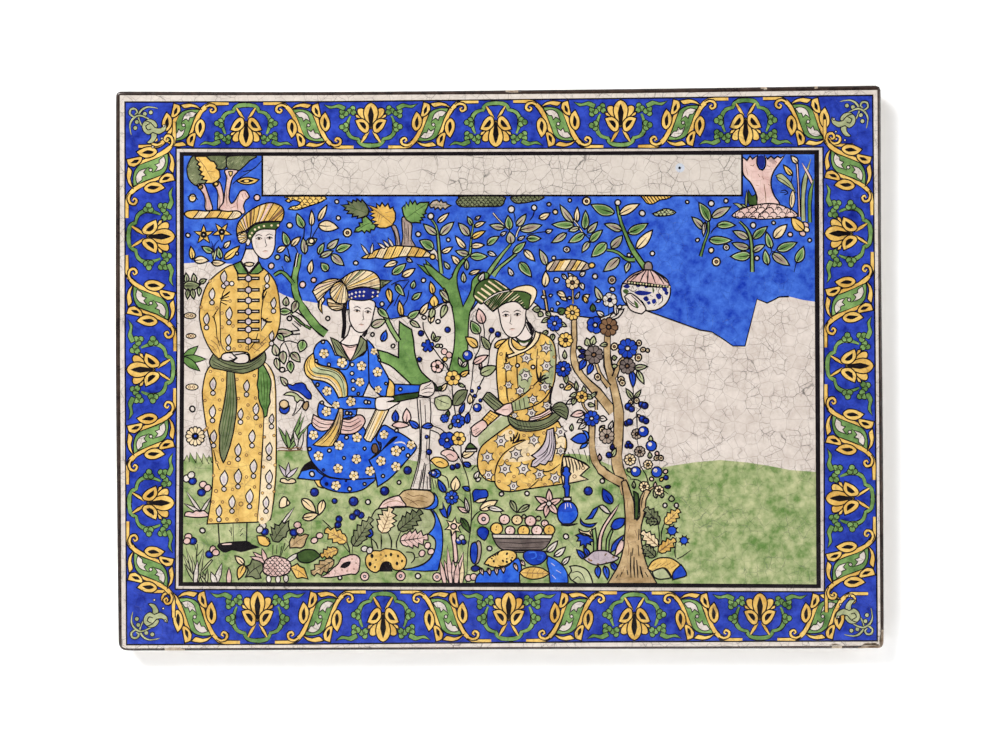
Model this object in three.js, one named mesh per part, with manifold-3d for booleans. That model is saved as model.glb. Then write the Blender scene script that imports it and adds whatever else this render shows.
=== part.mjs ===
// A large painted and glazed pottery wall tile, made to be set in a wall.
// It is one slab of fired fritware, so it is one solid. The painted face looks along -Y,
// +X is to the viewer's right and +Z is up. The origin is the middle of the flat back,
// which beds against the wall. All sizes are in millimetres.
import * as THREE from "three";
import { mergeVertices } from "three/addons/utils/BufferGeometryUtils.js";
import Module from "manifold-3d";

// Driving dimensions
const tileWidth = 520; // along X, halfway up
const tileHeight = 381; // along Z, at the middle
const thickness = 24; // back to painted face
const arrisRadius = 1.7; // soft edge that the glaze rounds off
const sideDraft = 2.2; // how far each side slopes in towards the back, as cut with a knife
const backEdge = 0.8; // small break of the back edge
const arrisSteps = 3;
const curveSteps = 6; // points on each stretch of a side, and on each corner

const halfWidth = tileWidth / 2;
const halfHeight = tileHeight / 2;

// The slab was cut by hand and moved in the kiln: each corner stands a little off the true
// rectangle, and each side bows. rise is how far a corner or a side's waypoint lies outside
// the rectangle, and along is the waypoint's place on its side, from 0 to 1.
const corners = {
  bottomLeft: { across: -halfWidth + 1.1, up: -halfHeight - 0.9, radius: 6.5 },
  bottomRight: { across: halfWidth + 1.1, up: -halfHeight + 0.8, radius: 4.5 },
  topRight: { across: halfWidth - 1.1, up: halfHeight + 2.2, radius: 3.4 },
  topLeft: { across: -halfWidth - 0.7, up: halfHeight - 1.9, radius: 3.8 },
};
const sides = [
  { from: "bottomLeft", to: "bottomRight", waypoints: [{ along: 0.3, rise: -0.1 }, { along: 0.62, rise: -0.1 }] },
  { from: "bottomRight", to: "topRight", waypoints: [{ along: 0.35, rise: 0.2 }, { along: 0.7, rise: -0.3 }] },
  { from: "topRight", to: "topLeft", waypoints: [{ along: 0.32, rise: -1.0 }, { along: 0.7, rise: -1.4 }] },
  { from: "topLeft", to: "bottomLeft", waypoints: [{ along: 0.45, rise: 1.0 }, { along: 0.8, rise: 0.5 }] },
];

// Losses along the front edge: along runs left to right or bottom to top, from 0 to 1, on
// the side named. reach is how far the scoop cuts in from the edge, length how far it runs,
// depth how far it goes back from the painted face.
const chips = [
  { side: "top", along: 0.517, reach: 1.9, length: 9, depth: 3.2 },
  { side: "top", along: 0.845, reach: 2.2, length: 4.2, depth: 1.6 },
  { side: "top", along: 0.912, reach: 1.8, length: 3, depth: 1.4 },
  { side: "bottom", along: 0.077, reach: 2.6, length: 13, depth: 2.4 },
  { side: "bottom", along: 0.937, reach: 3.4, length: 7, depth: 2.6 },
  { side: "bottom", along: 0.983, reach: 3.6, length: 15, depth: 4.2 },
  { side: "right", along: 0.018, reach: 3.2, length: 15, depth: 4.2 },
];

// A corner's point, moved inwards by its radius along the side towards another corner.
function offCorner(name, towards) {
  const at = new THREE.Vector2(corners[name].across, corners[name].up);
  const other = new THREE.Vector2(corners[towards].across, corners[towards].up);
  const step = other.sub(at).setLength(corners[name].radius);
  return at.add(step);
}

// The widest outline of the slab, anticlockwise as seen from the painted face.
function slabOutline() {
  const path = new THREE.Path();
  for (const [index, side] of sides.entries()) {
    const start = offCorner(side.from, side.to);
    const end = offCorner(side.to, side.from);
    const run = end.clone().sub(start);
    const outwards = new THREE.Vector2(run.y, -run.x).normalize();
    const points = side.waypoints.map((waypoint) =>
      start.clone().addScaledVector(run, waypoint.along).addScaledVector(outwards, waypoint.rise),
    );
    if (index === 0) path.moveTo(start.x, start.y);
    path.splineThru([...points, end]);
    const corner = corners[side.to];
    const next = offCorner(side.to, sides[(index + 1) % sides.length].to);
    path.quadraticCurveTo(corner.across, corner.up, next.x, next.y);
  }
  const points = path.getPoints(curveSteps);
  return points.filter((point, index) => point.distanceTo(points[(index + 1) % points.length]) > 0.01);
}

// The outline moved inwards by a distance, along the line that halves each vertex's angle.
function inset(outline, distance) {
  return outline.map((point, index) => {
    const before = outline[(index + outline.length - 1) % outline.length];
    const after = outline[(index + 1) % outline.length];
    const along = after.clone().sub(before).normalize();
    return new THREE.Vector2(point.x - along.y * distance, point.y + along.x * distance);
  });
}

// The section of the edge, from the back to the painted face: how far each ring is inset
// from the widest outline, and how far in front of the back it lies.
function edgeSection() {
  const rings = [
    { inset: sideDraft + backEdge, forward: 0 },
    { inset: sideDraft, forward: backEdge },
    { inset: 0, forward: thickness - arrisRadius * 1.6 },
  ];
  for (let step = 0; step <= arrisSteps; step += 1) {
    const turn = (step / arrisSteps) * (Math.PI / 2);
    rings.push({
      inset: arrisRadius * (1 - Math.cos(turn)) + 0.05,
      forward: thickness - arrisRadius * (1 - Math.sin(turn)),
    });
  }
  return rings;
}

// A closed skin through the rings, with a flat back and a flat painted face.
function slabGeometry() {
  const outline = slabOutline();
  const count = outline.length;
  const positions = [];
  const triangles = [];
  const rings = edgeSection();
  for (const ring of rings) {
    for (const point of inset(outline, ring.inset)) positions.push(point.x, -ring.forward, point.y);
  }
  for (let ring = 0; ring + 1 < rings.length; ring += 1) {
    for (let index = 0; index < count; index += 1) {
      const next = (index + 1) % count;
      const back = ring * count;
      const front = back + count;
      triangles.push(back + index, back + next, front + next);
      triangles.push(back + index, front + next, front + index);
    }
  }
  const cap = THREE.ShapeUtils.triangulateShape(outline, []);
  const face = (rings.length - 1) * count;
  for (const [a, b, c] of cap) {
    triangles.push(a, c, b);
    triangles.push(face + a, face + b, face + c);
  }
  const geometry = new THREE.BufferGeometry();
  geometry.setAttribute("position", new THREE.Float32BufferAttribute(positions, 3));
  geometry.setIndex(triangles);
  return geometry;
}

// Where a chip's scoop is centred: on the painted face's edge, on the side it names.
function chipPlace(chip) {
  const low = corners.bottomLeft;
  const left = THREE.MathUtils.lerp(low.across, corners.topLeft.across, chip.along);
  const right = THREE.MathUtils.lerp(corners.bottomRight.across, corners.topRight.across, chip.along);
  const bottom = THREE.MathUtils.lerp(low.up, corners.bottomRight.up, chip.along);
  const top = THREE.MathUtils.lerp(corners.topLeft.up, corners.topRight.up, chip.along);
  const across = THREE.MathUtils.lerp(low.across, corners.bottomRight.across, chip.along);
  const up = THREE.MathUtils.lerp(corners.bottomRight.up, corners.topRight.up, chip.along);
  if (chip.side === "left") return { across: left, up };
  if (chip.side === "right") return { across: right, up };
  return { across, up: chip.side === "top" ? top : bottom };
}

// One scoop, as a stretched ball centred on the edge.
function chipGeometry(chip) {
  const upright = chip.side === "left" || chip.side === "right";
  const along = chip.length / 2;
  const place = chipPlace(chip);
  const geometry = new THREE.IcosahedronGeometry(1, 2);
  geometry.scale(upright ? chip.reach : along, chip.depth, upright ? along : chip.reach);
  geometry.translate(place.across, -thickness, place.up);
  return geometry;
}

const wasm = await Module();
wasm.setup();

function solidFrom(geometry) {
  const bare = geometry.clone();
  bare.deleteAttribute("normal");
  bare.deleteAttribute("uv");
  const merged = mergeVertices(bare, 1e-4);
  const triVerts = new Uint32Array(
    merged.index ? merged.index.array : Array.from({ length: merged.attributes.position.count }, (_, i) => i),
  );
  const mesh = new wasm.Mesh({ numProp: 3, vertProperties: merged.attributes.position.array, triVerts });
  return new wasm.Manifold(mesh);
}

function geometryFrom(solid) {
  const mesh = solid.getMesh();
  const geometry = new THREE.BufferGeometry();
  geometry.setAttribute("position", new THREE.BufferAttribute(new Float32Array(mesh.vertProperties), 3));
  geometry.setIndex(new THREE.BufferAttribute(new Uint32Array(mesh.triVerts), 1));
  geometry.computeVertexNormals();
  return geometry;
}

// The painted glaze gives the colour of the whole: deep cobalt, with a hard gloss.
function glazedFritware() {
  return new THREE.MeshStandardMaterial({ color: 0x2b45a8, roughness: 0.22, metalness: 0 });
}

let slab = solidFrom(slabGeometry());
for (const chip of chips) slab = slab.subtract(solidFrom(chipGeometry(chip)));

const tile = new THREE.Mesh(geometryFrom(slab), glazedFritware());
tile.name = "tile";

const part = new THREE.Group();
part.name = "pottery_tile";
part.add(tile);

export default part;
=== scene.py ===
# A large painted pottery tile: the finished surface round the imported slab.
# The picture is drawn on a sheet of small squares and becomes the tile's own front mesh,
# one flat patch of glaze for each painted shape. Metres, +Z up, the painted face looks along -Y.
import math
import random

import bpy
import numpy as np
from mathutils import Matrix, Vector, geometry, kdtree, noise


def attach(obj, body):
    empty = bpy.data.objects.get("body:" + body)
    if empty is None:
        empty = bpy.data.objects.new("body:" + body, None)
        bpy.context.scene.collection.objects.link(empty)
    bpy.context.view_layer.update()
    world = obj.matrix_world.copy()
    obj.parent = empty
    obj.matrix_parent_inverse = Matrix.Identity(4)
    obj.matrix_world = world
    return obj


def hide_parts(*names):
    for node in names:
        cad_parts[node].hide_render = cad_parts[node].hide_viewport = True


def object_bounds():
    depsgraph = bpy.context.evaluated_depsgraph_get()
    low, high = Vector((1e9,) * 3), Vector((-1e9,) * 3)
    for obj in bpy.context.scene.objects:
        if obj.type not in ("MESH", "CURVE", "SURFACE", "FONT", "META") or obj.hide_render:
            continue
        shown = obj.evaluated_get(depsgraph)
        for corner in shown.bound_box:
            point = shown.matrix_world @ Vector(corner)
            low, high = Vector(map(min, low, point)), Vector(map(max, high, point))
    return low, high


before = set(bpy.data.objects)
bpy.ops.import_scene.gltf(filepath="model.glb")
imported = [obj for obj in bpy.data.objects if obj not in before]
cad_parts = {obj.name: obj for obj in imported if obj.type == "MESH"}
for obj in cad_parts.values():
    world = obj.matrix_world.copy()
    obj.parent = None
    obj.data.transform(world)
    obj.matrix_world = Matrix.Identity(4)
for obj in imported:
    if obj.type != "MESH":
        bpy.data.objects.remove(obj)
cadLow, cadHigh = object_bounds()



# The layout sheet
# The painted face is drawn on a sheet of small squares, counted from the left and from the top.
sheet = {
    "squareSize": 0.520 / 766,  # metres
    "middle": 499.6 + 369.0j,  # the square at the tile's middle
    "lineWidth": 1.5,  # the painter's outline, in squares
    "unevenness": 0.16,  # how much a brush line swells and thins
    "stepLength": 2.4,  # length of one straight bit of a curve, in squares
}
chance = random.Random(17)
shapes = []  # every painted shape, the lowest first
clips = []  # outlines that new shapes stay inside, the last one in force


def points(text):
    # "12,30 15,34!" gives two points; a mark ! keeps a sharp corner there
    found = []
    for word in text.split():
        x, y = word.rstrip("!").split(",")
        found += [complex(float(x), float(y))] * (2 if word.endswith("!") else 1)
    return found


def curve(path, closed=False, step=None):
    # a smooth line through the points, as short straight bits
    path = points(path) if isinstance(path, str) else list(path)
    step = step or sheet["stepLength"]
    count = len(path)
    line = []
    for i in range(count if closed else count - 1):
        a, b, c, d = (path[(i + k) % count] if closed else path[min(max(i + k, 0), count - 1)] for k in (-1, 0, 1, 2))
        if abs(c - b) < 1e-6:
            continue
        turn = abs(math.remainder(np.angle((c - a) / (d - b)), math.tau)) if abs(d - b) > 1e-6 and abs(c - a) > 1e-6 else 1
        bits = max(1, min(8, round(abs(c - b) / step), round(turn * 5) + 1))
        for k in range(bits):
            t = k / bits
            line.append(
                0.5 * (2 * b + (c - a) * t + (2 * a - 5 * b + 4 * c - d) * t * t + (3 * b - a - 3 * c + d) * t ** 3)
            )
    if not closed:
        line.append(path[-1])
    return np.array(line)


def unit(values):
    return values / np.maximum(np.abs(values), 1e-9)


def turnSign(loop):
    after = np.roll(loop, -1)
    return 1 if (loop.real * after.imag - after.real * loop.imag).sum() > 0 else -1


def grown(loop, distance):
    # a closed outline moved outwards
    first = unit(loop - np.roll(loop, 1))
    second = unit(np.roll(loop, -1) - loop)
    outwards = unit(first + second) * -1j * turnSign(loop)
    square = (np.conj(outwards) * first * -1j * turnSign(loop)).real
    return loop + outwards * distance / np.maximum(square, 0.55)


def lay(paint, loop, along=None):
    # one flat shape; along is the start and end of the line that its place attribute is measured along
    loop = np.asarray(loop, complex)
    if along is None:
        along = (complex(loop.real.min(), loop.imag.max()), complex(loop.real.max(), loop.imag.max()))
    shapes.append({
        "paint": paint, "loop": loop, "along": along, "seed": chance.random(),
        "clip": clips[-1] if clips else None,
    })


def ribbon(path, width, ends=(1, 1)):
    # a closed outline round an open line; ends are the shares of the width left at its ends
    path = np.asarray(path, complex)
    count = len(path)
    heading = np.empty(count, complex)
    heading[1:-1] = unit(unit(path[1:-1] - path[:-2]) + unit(path[2:] - path[1:-1]))
    heading[0] = unit(path[1] - path[0])
    heading[-1] = unit(path[-1] - path[-2])
    t = np.linspace(0, 1, count)
    middle = np.sin(np.pi * t)
    share = middle + (1 - middle) * (ends[0] * (1 - t) + ends[1] * t)
    wobble = 1 + sheet["unevenness"] * np.array([chance.uniform(-1, 1) for _ in range(count)])
    half = np.asarray(width) / 2 * share * wobble
    return np.concatenate([path + heading * 1j * half, (path - heading * 1j * half)[::-1]])


def stroke(path, width=None, ends=(0.7, 0.7), paint="line", step=None):
    path = curve(path, step=step) if isinstance(path, str) else np.asarray(path, complex)
    lay(paint, ribbon(path, width or sheet["lineWidth"], ends))


def fill(paint, outline, line=None, along=None, closedCurve=True):
    # a shape with its outline; returns the inside edge of the outline
    outline = curve(outline, closed=closedCurve) if isinstance(outline, str) else np.asarray(outline, complex)
    line = sheet["lineWidth"] if line is None else line
    if line:
        lay("line", grown(outline, line / 2))
    inside = grown(outline, -line / 2)
    lay(paint, inside, along)
    return inside


def direction(angle):
    # 0 is to the right, 90 is up
    return complex(math.cos(math.radians(angle)), -math.sin(math.radians(angle)))


def circle(centre, radius, sides=10, squash=1, angle=0):
    turns = np.exp(1j * np.arange(sides) / sides * math.tau)
    return centre + (turns.real + 1j * turns.imag * squash) * radius * direction(angle)

# The border: nested frames
# Each frame is one closed line on the sheet, with sharp corners; the painter ruled them by hand.
frames = {
    "edgeBand": "119.8,95.3! 330,95.2 600,93.6 877.4,90! 878.6,350 881,645.4! 600,647.2 300,648.2 121.8,648.6! 120.1,350",
    "blueEdge": "124.3,101.3! 330,101 600,98 873.4,94.5! 875.8,350 878,641.6! 600,642.6 300,644.9 125.9,645.5! 124.4,350",
    "blueStart": "125.8,102.9! 330,102.5 600,99.5 871.9,96.1! 874.2,350 876.4,640.1! 600,641 300,643.3 127.3,643.9! 125.9,350",
    "blueEnd": "175.3,147.4! 330,148.1 600,147.5 823.8,146.3! 824.7,350 825.2,592.6! 600,591.7 300,590.6 174.5,590.2! 176,350",
    "innerBand": "176.8,148.9! 330,149.5 600,149 822.3,147.8! 823.2,350 823.7,591.1! 600,590.3 300,589 176,588.7! 177.5,350",
    "thickLine": "179.6,152! 330,152.2 600,151.3 819,150! 819.8,350 820.9,588.2! 600,587.2 300,586.7 178.4,586.1! 180,350",
    "field": "183.8,156! 330,156 600,155.2 814.2,154.4! 815,350 816.4,584.2! 600,583 300,582.4 183,582! 184.3,350",
}
band = {"halfWidth": 23, "pitch": 124.7, "ornamentLine": 1.25}
# where the flowers of each side stand, the first and the distance to the next
bandSides = {
    "top": {"first": 246, "pitch": 124.9, "count": 5},
    "bottom": {"first": 257.5, "pitch": 125.6, "count": 5},
    "left": {"first": 236.5, "pitch": 133.2, "count": 3},
    "right": {"first": 233.5, "pitch": 132.4, "count": 3},
}


def sidePoints(name, side):
    corners = [float(v) for v in frames[name].replace("!", "").replace(",", " ").split()]
    corners = [complex(corners[k], corners[k + 1]) for k in range(0, len(corners), 2)]
    first, last = {"top": (0, 4), "right": (3, 6), "bottom": (5, 9), "left": (8, 11)}[side]
    return (corners + corners[:1])[first:last]


def bandPlace(side, centre, stretch, flip):
    # turns places in an ornament, s along the band and t across it, into places on the sheet
    upright = side in ("left", "right")

    def across(name, along):
        row = sidePoints(name, side)
        pairs = sorted((p.imag, p.real) if upright else (p.real, p.imag) for p in row)
        return np.interp(along, [run for run, _ in pairs], [off for _, off in pairs])

    def place(local):
        local = np.asarray(local, complex)
        along = centre + local.real * stretch
        share = (local.imag * (-1 if flip else 1) / band["halfWidth"] + 1) / 2
        off = across("blueStart", along) * (1 - share) + across("blueEnd", along) * share
        return off + 1j * along if upright else along + 1j * off

    return place


def ringed(place, outline, drop):
    # a yellow leaf with a black drop in it
    fill("yellow", place(curve(outline, closed=True, step=1.8)), band["ornamentLine"])
    lay("line", place(curve(drop, closed=True, step=2.2)))


def tendril(place, path, width, paint="yellow", ends=(0.5, 0.5), line=None):
    path = place(curve(path, step=2))
    line = band["ornamentLine"] if line is None else line
    lay("line", ribbon(path, width + line, ends))
    lay(paint, ribbon(path, width - line, ends))


def bandFlower(place):
    # the open flower between two medallions, with its cusped green arch
    for hand in (1, -1):
        def half(local, hand=hand):
            return place(np.asarray(local).real * hand + 1j * np.asarray(local).imag)
        tendril(half, "0,20.6 7,20 11.5,17 13.5,12.5", 4.6, "leafGreen", (1, 0.7), 0.9)
        tendril(half, "12.5,14 19.5,12 23.6,6 23,-3 20.5,-9", 4.4, "leafGreen", (0.7, 0.5), 0.9)
        for centre in (19 - 14.5j, 27.5 - 11.5j, 26.5 + 2j):
            for lobe in range(3):
                spot = centre + 2.5 * np.exp(1j * (lobe * 2.1 + centre.imag))
                fill("leafGreen", half(circle(spot, 3, 8)), 0.9)
            lay("darkGreen", half(circle(centre, 1.5, 6)))
        fill("leafGreen", half(curve("25,-18.5! 32,-21.5 39,-19.5 47,-21! 41,-16.5 34,-17.5 27,-14.5", True)), 0.8)
        tendril(half, "2,6 6,12 9.5,17.5", 3.8)
        fill("yellow", half(curve("6,-5 15,-7.5! 16,-11! 10.5,-9.5", True)), band["ornamentLine"])
        fill("yellow", half(curve("5,-4 12.5,-10 13.5,-16 8.5,-17 5,-12", True)), band["ornamentLine"])
    fill("yellow", place(curve("0,-22.5 5,-19.5 7.4,-13 5.5,-5 0,4 -5.5,-5 -7.4,-13 -5,-19.5", True)), band["ornamentLine"])
    lay("line", place(curve("0,-19! 3,-10 0.6,3! -0.6,3! -3,-10", True)))
    for hand in (1, -1):
        def half(local, hand=hand):
            return place(np.asarray(local).real * hand + 1j * np.asarray(local).imag)
        ringed(half, "2.5,6.5 7,8 12.5,3 16,-5! 8.5,-6.5 2,-1", "5.5,4.5 9,1.5 12,-3! 7,-2.6 4.6,1.5")


def bandMedallion(place):
    # the leaning green leaf with its two white half leaves, the same when turned half round
    fill("leafGreen", place(curve("-16,-16! -8,-16.5 1,-14 8,-6 13,4 16.5,14 16,16! 8,16.5 -1,14 -8,6 -13,-4 -16.5,-14", True)),
         band["ornamentLine"])
    for hand in (1, -1):
        def half(local, hand=hand):
            return place(np.asarray(local) * hand)
        fill("white", half(curve("-13,-12.5! -7,-13.8 -1,-10.5 1.6,-3.5! -2.5,-6.5 -5,-4! -6.5,-8 -9.5,-8!", True)), 0.9)
        stroke(half(curve("1.4,-4 2.4,-2 0.8,-0.4")), 0.9)
        fill("yellow", half(curve("-18,-15.8! -13,-20.6 -5,-22.4 3.5,-21! -1,-17 -8,-18.5 -15,-17", True)), band["ornamentLine"])
        tendril(half, "4.5,-15 8.5,-5.5 12.5,4.5 17.5,14 24,20 32,22 45,22", 5, ends=(0.7, 0.7))
        tendril(half, "22,18.5 26,20.5 31,19 32,15 28.5,13 26.6,15.4 28.6,16.6", 3.4, ends=(0.8, 0.6))
        ringed(half, "2.6,-15! 4,-20.5 10,-22.5! 11.6,-15 12.6,-8 7,-9", "6.4,-18.5! 9.4,-15 9.6,-10.5! 6.4,-13")
        ringed(half, "17,-13.5! 21,-6 21.5,2 17.5,6.5 13,3 11,-4 13.2,-10", "15.6,-8.5! 18.5,-3 17,3 14.6,-0.5")
    fill("white", place(circle(0, 1.7, 7)), 0.9)


def bandCorner(corner, across, down):
    # scrolls that fill a corner; across and down are the two ways in from it
    def place(local):
        local = np.asarray(local, complex)
        return corner + local.real * across + local.imag * down

    def swapped(local):
        local = np.asarray(local, complex)
        return place(local.imag + 1j * local.real)

    for put, hook in ((place, 1), (swapped, 1)):
        tendril(put, "16,23 12.5,14 16,7 23,4 32,5.5", 2.8, "sage", (0.6, 0.3), 1)
        for spot in (19 + 11j, 25 + 9.5j):
            fill("sage", put(circle(spot, 2.4, 8)), 0.9)
        fill("sage", put(curve("20,25 18,19 23,16 29,18 32,23 29.5,27 31.5,33 27,40 21,40 25,35 24.5,29 22,27", True)), 1)
        stroke(put(curve("20.5,24.5 23,20 27,22 26,25.5")), 1.2)
    tendril(place, "8,14 4,11 5,6.5 9.5,6 11.5,9.5 9,11.5", 2.8, "sage", (0.8, 0.6), 1)
    for spot in (36 + 35.5j, 27 + 44j, 38 + 23j):
        fill("white", place(circle(spot, 1.3, 6)), 0.8)


def drawBorder():
    # every frame as a filled loop, from the outside in; the field cuts out of the last one
    loops = {name: curve(outline, closed=True, step=40) for name, outline in frames.items()}
    for outer, inner, paint in (
        ("edgeBand", "blueEdge", "white"), ("blueEdge", "blueStart", "line"), ("blueStart", "blueEnd", "border"),
        ("blueEnd", "innerBand", "line"), ("innerBand", "thickLine", "white"), ("thickLine", "field", "line"),
    ):
        lay(paint, np.concatenate([loops[outer], loops[outer][:1], loops[inner][:1], loops[inner][::-1]]))
    for side, row in bandSides.items():
        for k in range(row["count"] + 1):
            stretch = row["pitch"] / band["pitch"]
            centre = row["first"] + row["pitch"] * k
            if k < row["count"]:
                bandFlower(bandPlace(side, centre, stretch, flip=k % 2 == 0))
            bandMedallion(bandPlace(side, centre - row["pitch"] / 2, stretch, flip=k % 2 == 0))
    for corner, across, down in (
        (125.8 + 102.9j, 1, 1j), (871.9 + 96.1j, -1, 1j), (876.4 + 640.1j, -1, -1j), (127.3 + 643.9j, 1, -1j),
    ):
        bandCorner(corner, across, down)


# The picture
def pairs(text):
    # "12,30>15,34" gives a start and an end for each word; a third part ":8" is a width
    for word in text.split():
        ends, _, width = word.partition(":")
        start, end = ends.split(">")
        yield points(start)[0], points(end)[0], float(width) if width else None


leafShape = {"width": 0.44, "line": 1.5, "rib": 1.1, "ribEnd": 0.62, "rim": 0.62}
lighter = {"green": "leafRim", "leafTaupe": "leafRim", "greyGreen": "sage", "leafCream": "cream", "ochre": "yellow"}


def leaf(base, tip, width=None, paint="green", veins=0):
    # a pointed leaf: a light rim inside its outline, a darker heart and a rib
    run = tip - base
    width = width or max(abs(run) * leafShape["width"], 3.4)
    half = width / 2 / abs(run)
    bend = chance.uniform(-0.05, 0.05)

    def place(x, y):
        return base + run * complex(x, y + bend * math.sin(x * math.pi))

    swell = chance.uniform(0.36, 0.46)
    outline = [place(0, 0), place(swell * 0.35, half * 0.7), place(swell, half), place(0.76, half * 0.62), place(1, 0),
               place(1, 0), place(0.76, -half * 0.62), place(swell, -half), place(swell * 0.35, -half * 0.7)]
    loop = curve(outline, closed=True)
    rim = lighter.get(paint)
    inside = fill(rim or paint, loop, leafShape["line"], (base, tip))
    if rim and width > 4.5:
        lay(paint, grown(inside, -leafShape["rim"]) + run / abs(run) * 0.3j * chance.uniform(-1, 1), (base, tip))
    if abs(run) > 6:
        rib = [place(x, chance.uniform(-0.02, 0.02)) for x in (0, 0.3, leafShape["ribEnd"])]
        stroke(curve(rib), leafShape["rib"], (1, 0.3))
        for k in range(veins):
            x = 0.2 + 0.5 * k / max(1, veins - 1)
            for side in (1, -1):
                stroke([place(x, 0), place(x + 0.16, half * 0.62 * side)], 0.6, (1, 0.2))


def toothedLeaf(paint, outline, ribs=(), along=None):
    # a broad leaf with cut edges, given point by point
    loop = [p for p in points(outline)]
    fill(paint, np.array(loop), 1.5, along, closedCurve=False)
    for rib in ribs:
        stroke(rib, 0.7, (1, 0.3), paint="brown" if paint == "yellow" else "darkGreen")


def dot(centre, radius, paint="cream", ringed=False):
    fill(paint, circle(centre, radius + 0.4, 9, chance.uniform(0.86, 1), chance.uniform(0, 180)), 1.6)
    if ringed:
        lay("line", circle(centre, radius * 0.55, 8))
        lay("brown" if radius > 2 else paint, circle(centre, radius * 0.3, 6))


def spots(text, paint="cream", ringed=False):
    # "12,30:2.5" is a dot of radius 2.5
    for word in text.split():
        centre, _, radius = word.partition(":")
        dot(points(centre)[0], float(radius or 2.2), paint, ringed)


def branch(path, start, end, paint="stem"):
    # a branch with its outline, from one width to another
    line = curve(path) if isinstance(path, str) else path
    t = np.linspace(0, 1, len(line))
    width = start + (end - start) * t
    lay("line", ribbon(line, width + 1.5))
    lay(paint, ribbon(line, np.maximum(width - 1, 0.8)), (line[0], line[-1]))


def drawPlant(plant):
    for paint, rows in plant.get("branches", {}).items():
        for path, start, end in rows:
            branch(path, start, end, paint)
    for path in plant.get("twigs", ()):
        stroke(path, 1.3, (0.8, 0.6))
    for paint, text in plant.get("leaves", {}).items():
        for base, tip, width in pairs(text):
            leaf(base, tip, width, paint)
    for paint, text in plant.get("dots", {}).items():
        spots(text, paint)
    for paint, text in plant.get("rings", {}).items():
        spots(text, paint, True)


def petals(centre, radius, count, paint, core="ochre", start=90, notch=0.62, coreSize=0.3, shade=None):
    # an open flower: round petals about a core
    outline = []
    for k in range(count):
        turn = start + 360 * k / count
        outline += [centre + radius * notch * direction(turn - 180 / count)]
        outline += [centre + radius * direction(turn + s * 110 / count) for s in (-0.8, 0, 0.8)]
    fill(paint, curve(outline, closed=True), 1.3)
    for k in range(count):
        turn = start + 360 * k / count + 180 / count
        stroke([centre + radius * 0.3 * direction(turn), centre + radius * notch * direction(turn)], 0.8, (0.6, 1))
        if shade:
            middle = centre + radius * 0.62 * direction(turn - 180 / count)
            lay(shade, circle(middle, radius * 0.2, 6, 1.5, turn - 180 / count))
    if core:
        dot(centre, radius * coreSize, core)


def starFlower(centre, radius, paint="yellow", count=5, start=90, waist=0.42, core=None, line=1.3):
    # a flower with pointed petals
    outline = []
    for k in range(count):
        turn = start + 360 * k / count
        outline += [centre + radius * waist * direction(turn - 180 / count)]
        outline += [centre + radius * 0.68 * direction(turn - 58 / count), centre + radius * direction(turn),
                    centre + radius * direction(turn), centre + radius * 0.68 * direction(turn + 58 / count)]
    fill(paint, curve(outline, closed=True, step=3), line)
    if core:
        lay("line", circle(centre, radius * 0.36, 8))
        lay(core, circle(centre, radius * 0.15, 6))


def ropeBank(outline, lobes, paints, slope=3.0):
    # ground drawn as a twisted rope: a long closed shape cut by leaning lines
    loop = curve(outline, closed=True)
    inside = fill(paints[0], loop, 1.5)
    left, right = loop.real.min(), loop.real.max()
    clips.append(inside)
    for k in range(1, lobes):
        x = left + (right - left) * k / lobes
        near = loop[np.abs(loop.real - x) < (right - left) / lobes]
        low, high = near.imag.max(), near.imag.min()
        lay(paints[k % len(paints)], np.array([complex(x - slope, low + 1), complex(x + slope, high - 1),
                                                 complex(x + slope + (right - left) / lobes, high - 1),
                                                 complex(x - slope + (right - left) / lobes, low + 1)]))
        lean = curve([complex(x - slope, low + 0.5), complex(x - slope * 0.1, (low + high) / 2 + 1.2), complex(x + slope, high - 0.5)])
        stroke(lean, 1.3, (0.8, 0.8))
        for shift in (2.4, 4.6):
            stroke(lean * 0.6 + lean.mean() * 0.4 + shift, 0.6, (0.4, 0.4), "brown")
    clips.pop()


def scaledBank(outline, size, paint, scaleLine=0.9, mark="line"):
    # a cloud or bank drawn as rows of small overlapping scales
    loop = curve(outline, closed=True)
    inside = fill(paint, loop, 1.4)
    clips.append(inside)
    row = 0
    y = loop.imag.min() + size * 0.5
    while y < loop.imag.max() + size * 0.4:
        x = loop.real.min() + (row % 2) * size * 0.7
        while x < loop.real.max() + size:
            wobble = complex(chance.uniform(-0.5, 0.5), chance.uniform(-0.4, 0.4))
            centre = complex(x, y) + wobble
            arc = [centre + size * 0.62 * direction(turn) for turn in (170, 120, 70, 20, -25)]
            stroke(curve(arc), scaleLine, (0.4, 0.8), mark)
            x += size * 1.35
        y += size * 0.72
        row += 1
    clips.pop()


def blades(base, tips, width, paint="white"):
    # grass blades from one place
    for tip in tips:
        run = tip - base
        side = 1j * run / abs(run) * width / 2
        fill(paint, curve([base - side * 0.6, base + run * 0.5 - side, tip, tip, base + run * 0.5 + side, base + side * 0.6],
                          closed=True), 1.1)


def strokes(text, width=1.1, paint="line"):
    # free brush lines, separated by a slash
    for path in text.split("/"):
        stroke(path.strip(), width, (0.6, 0.5), paint)

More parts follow.
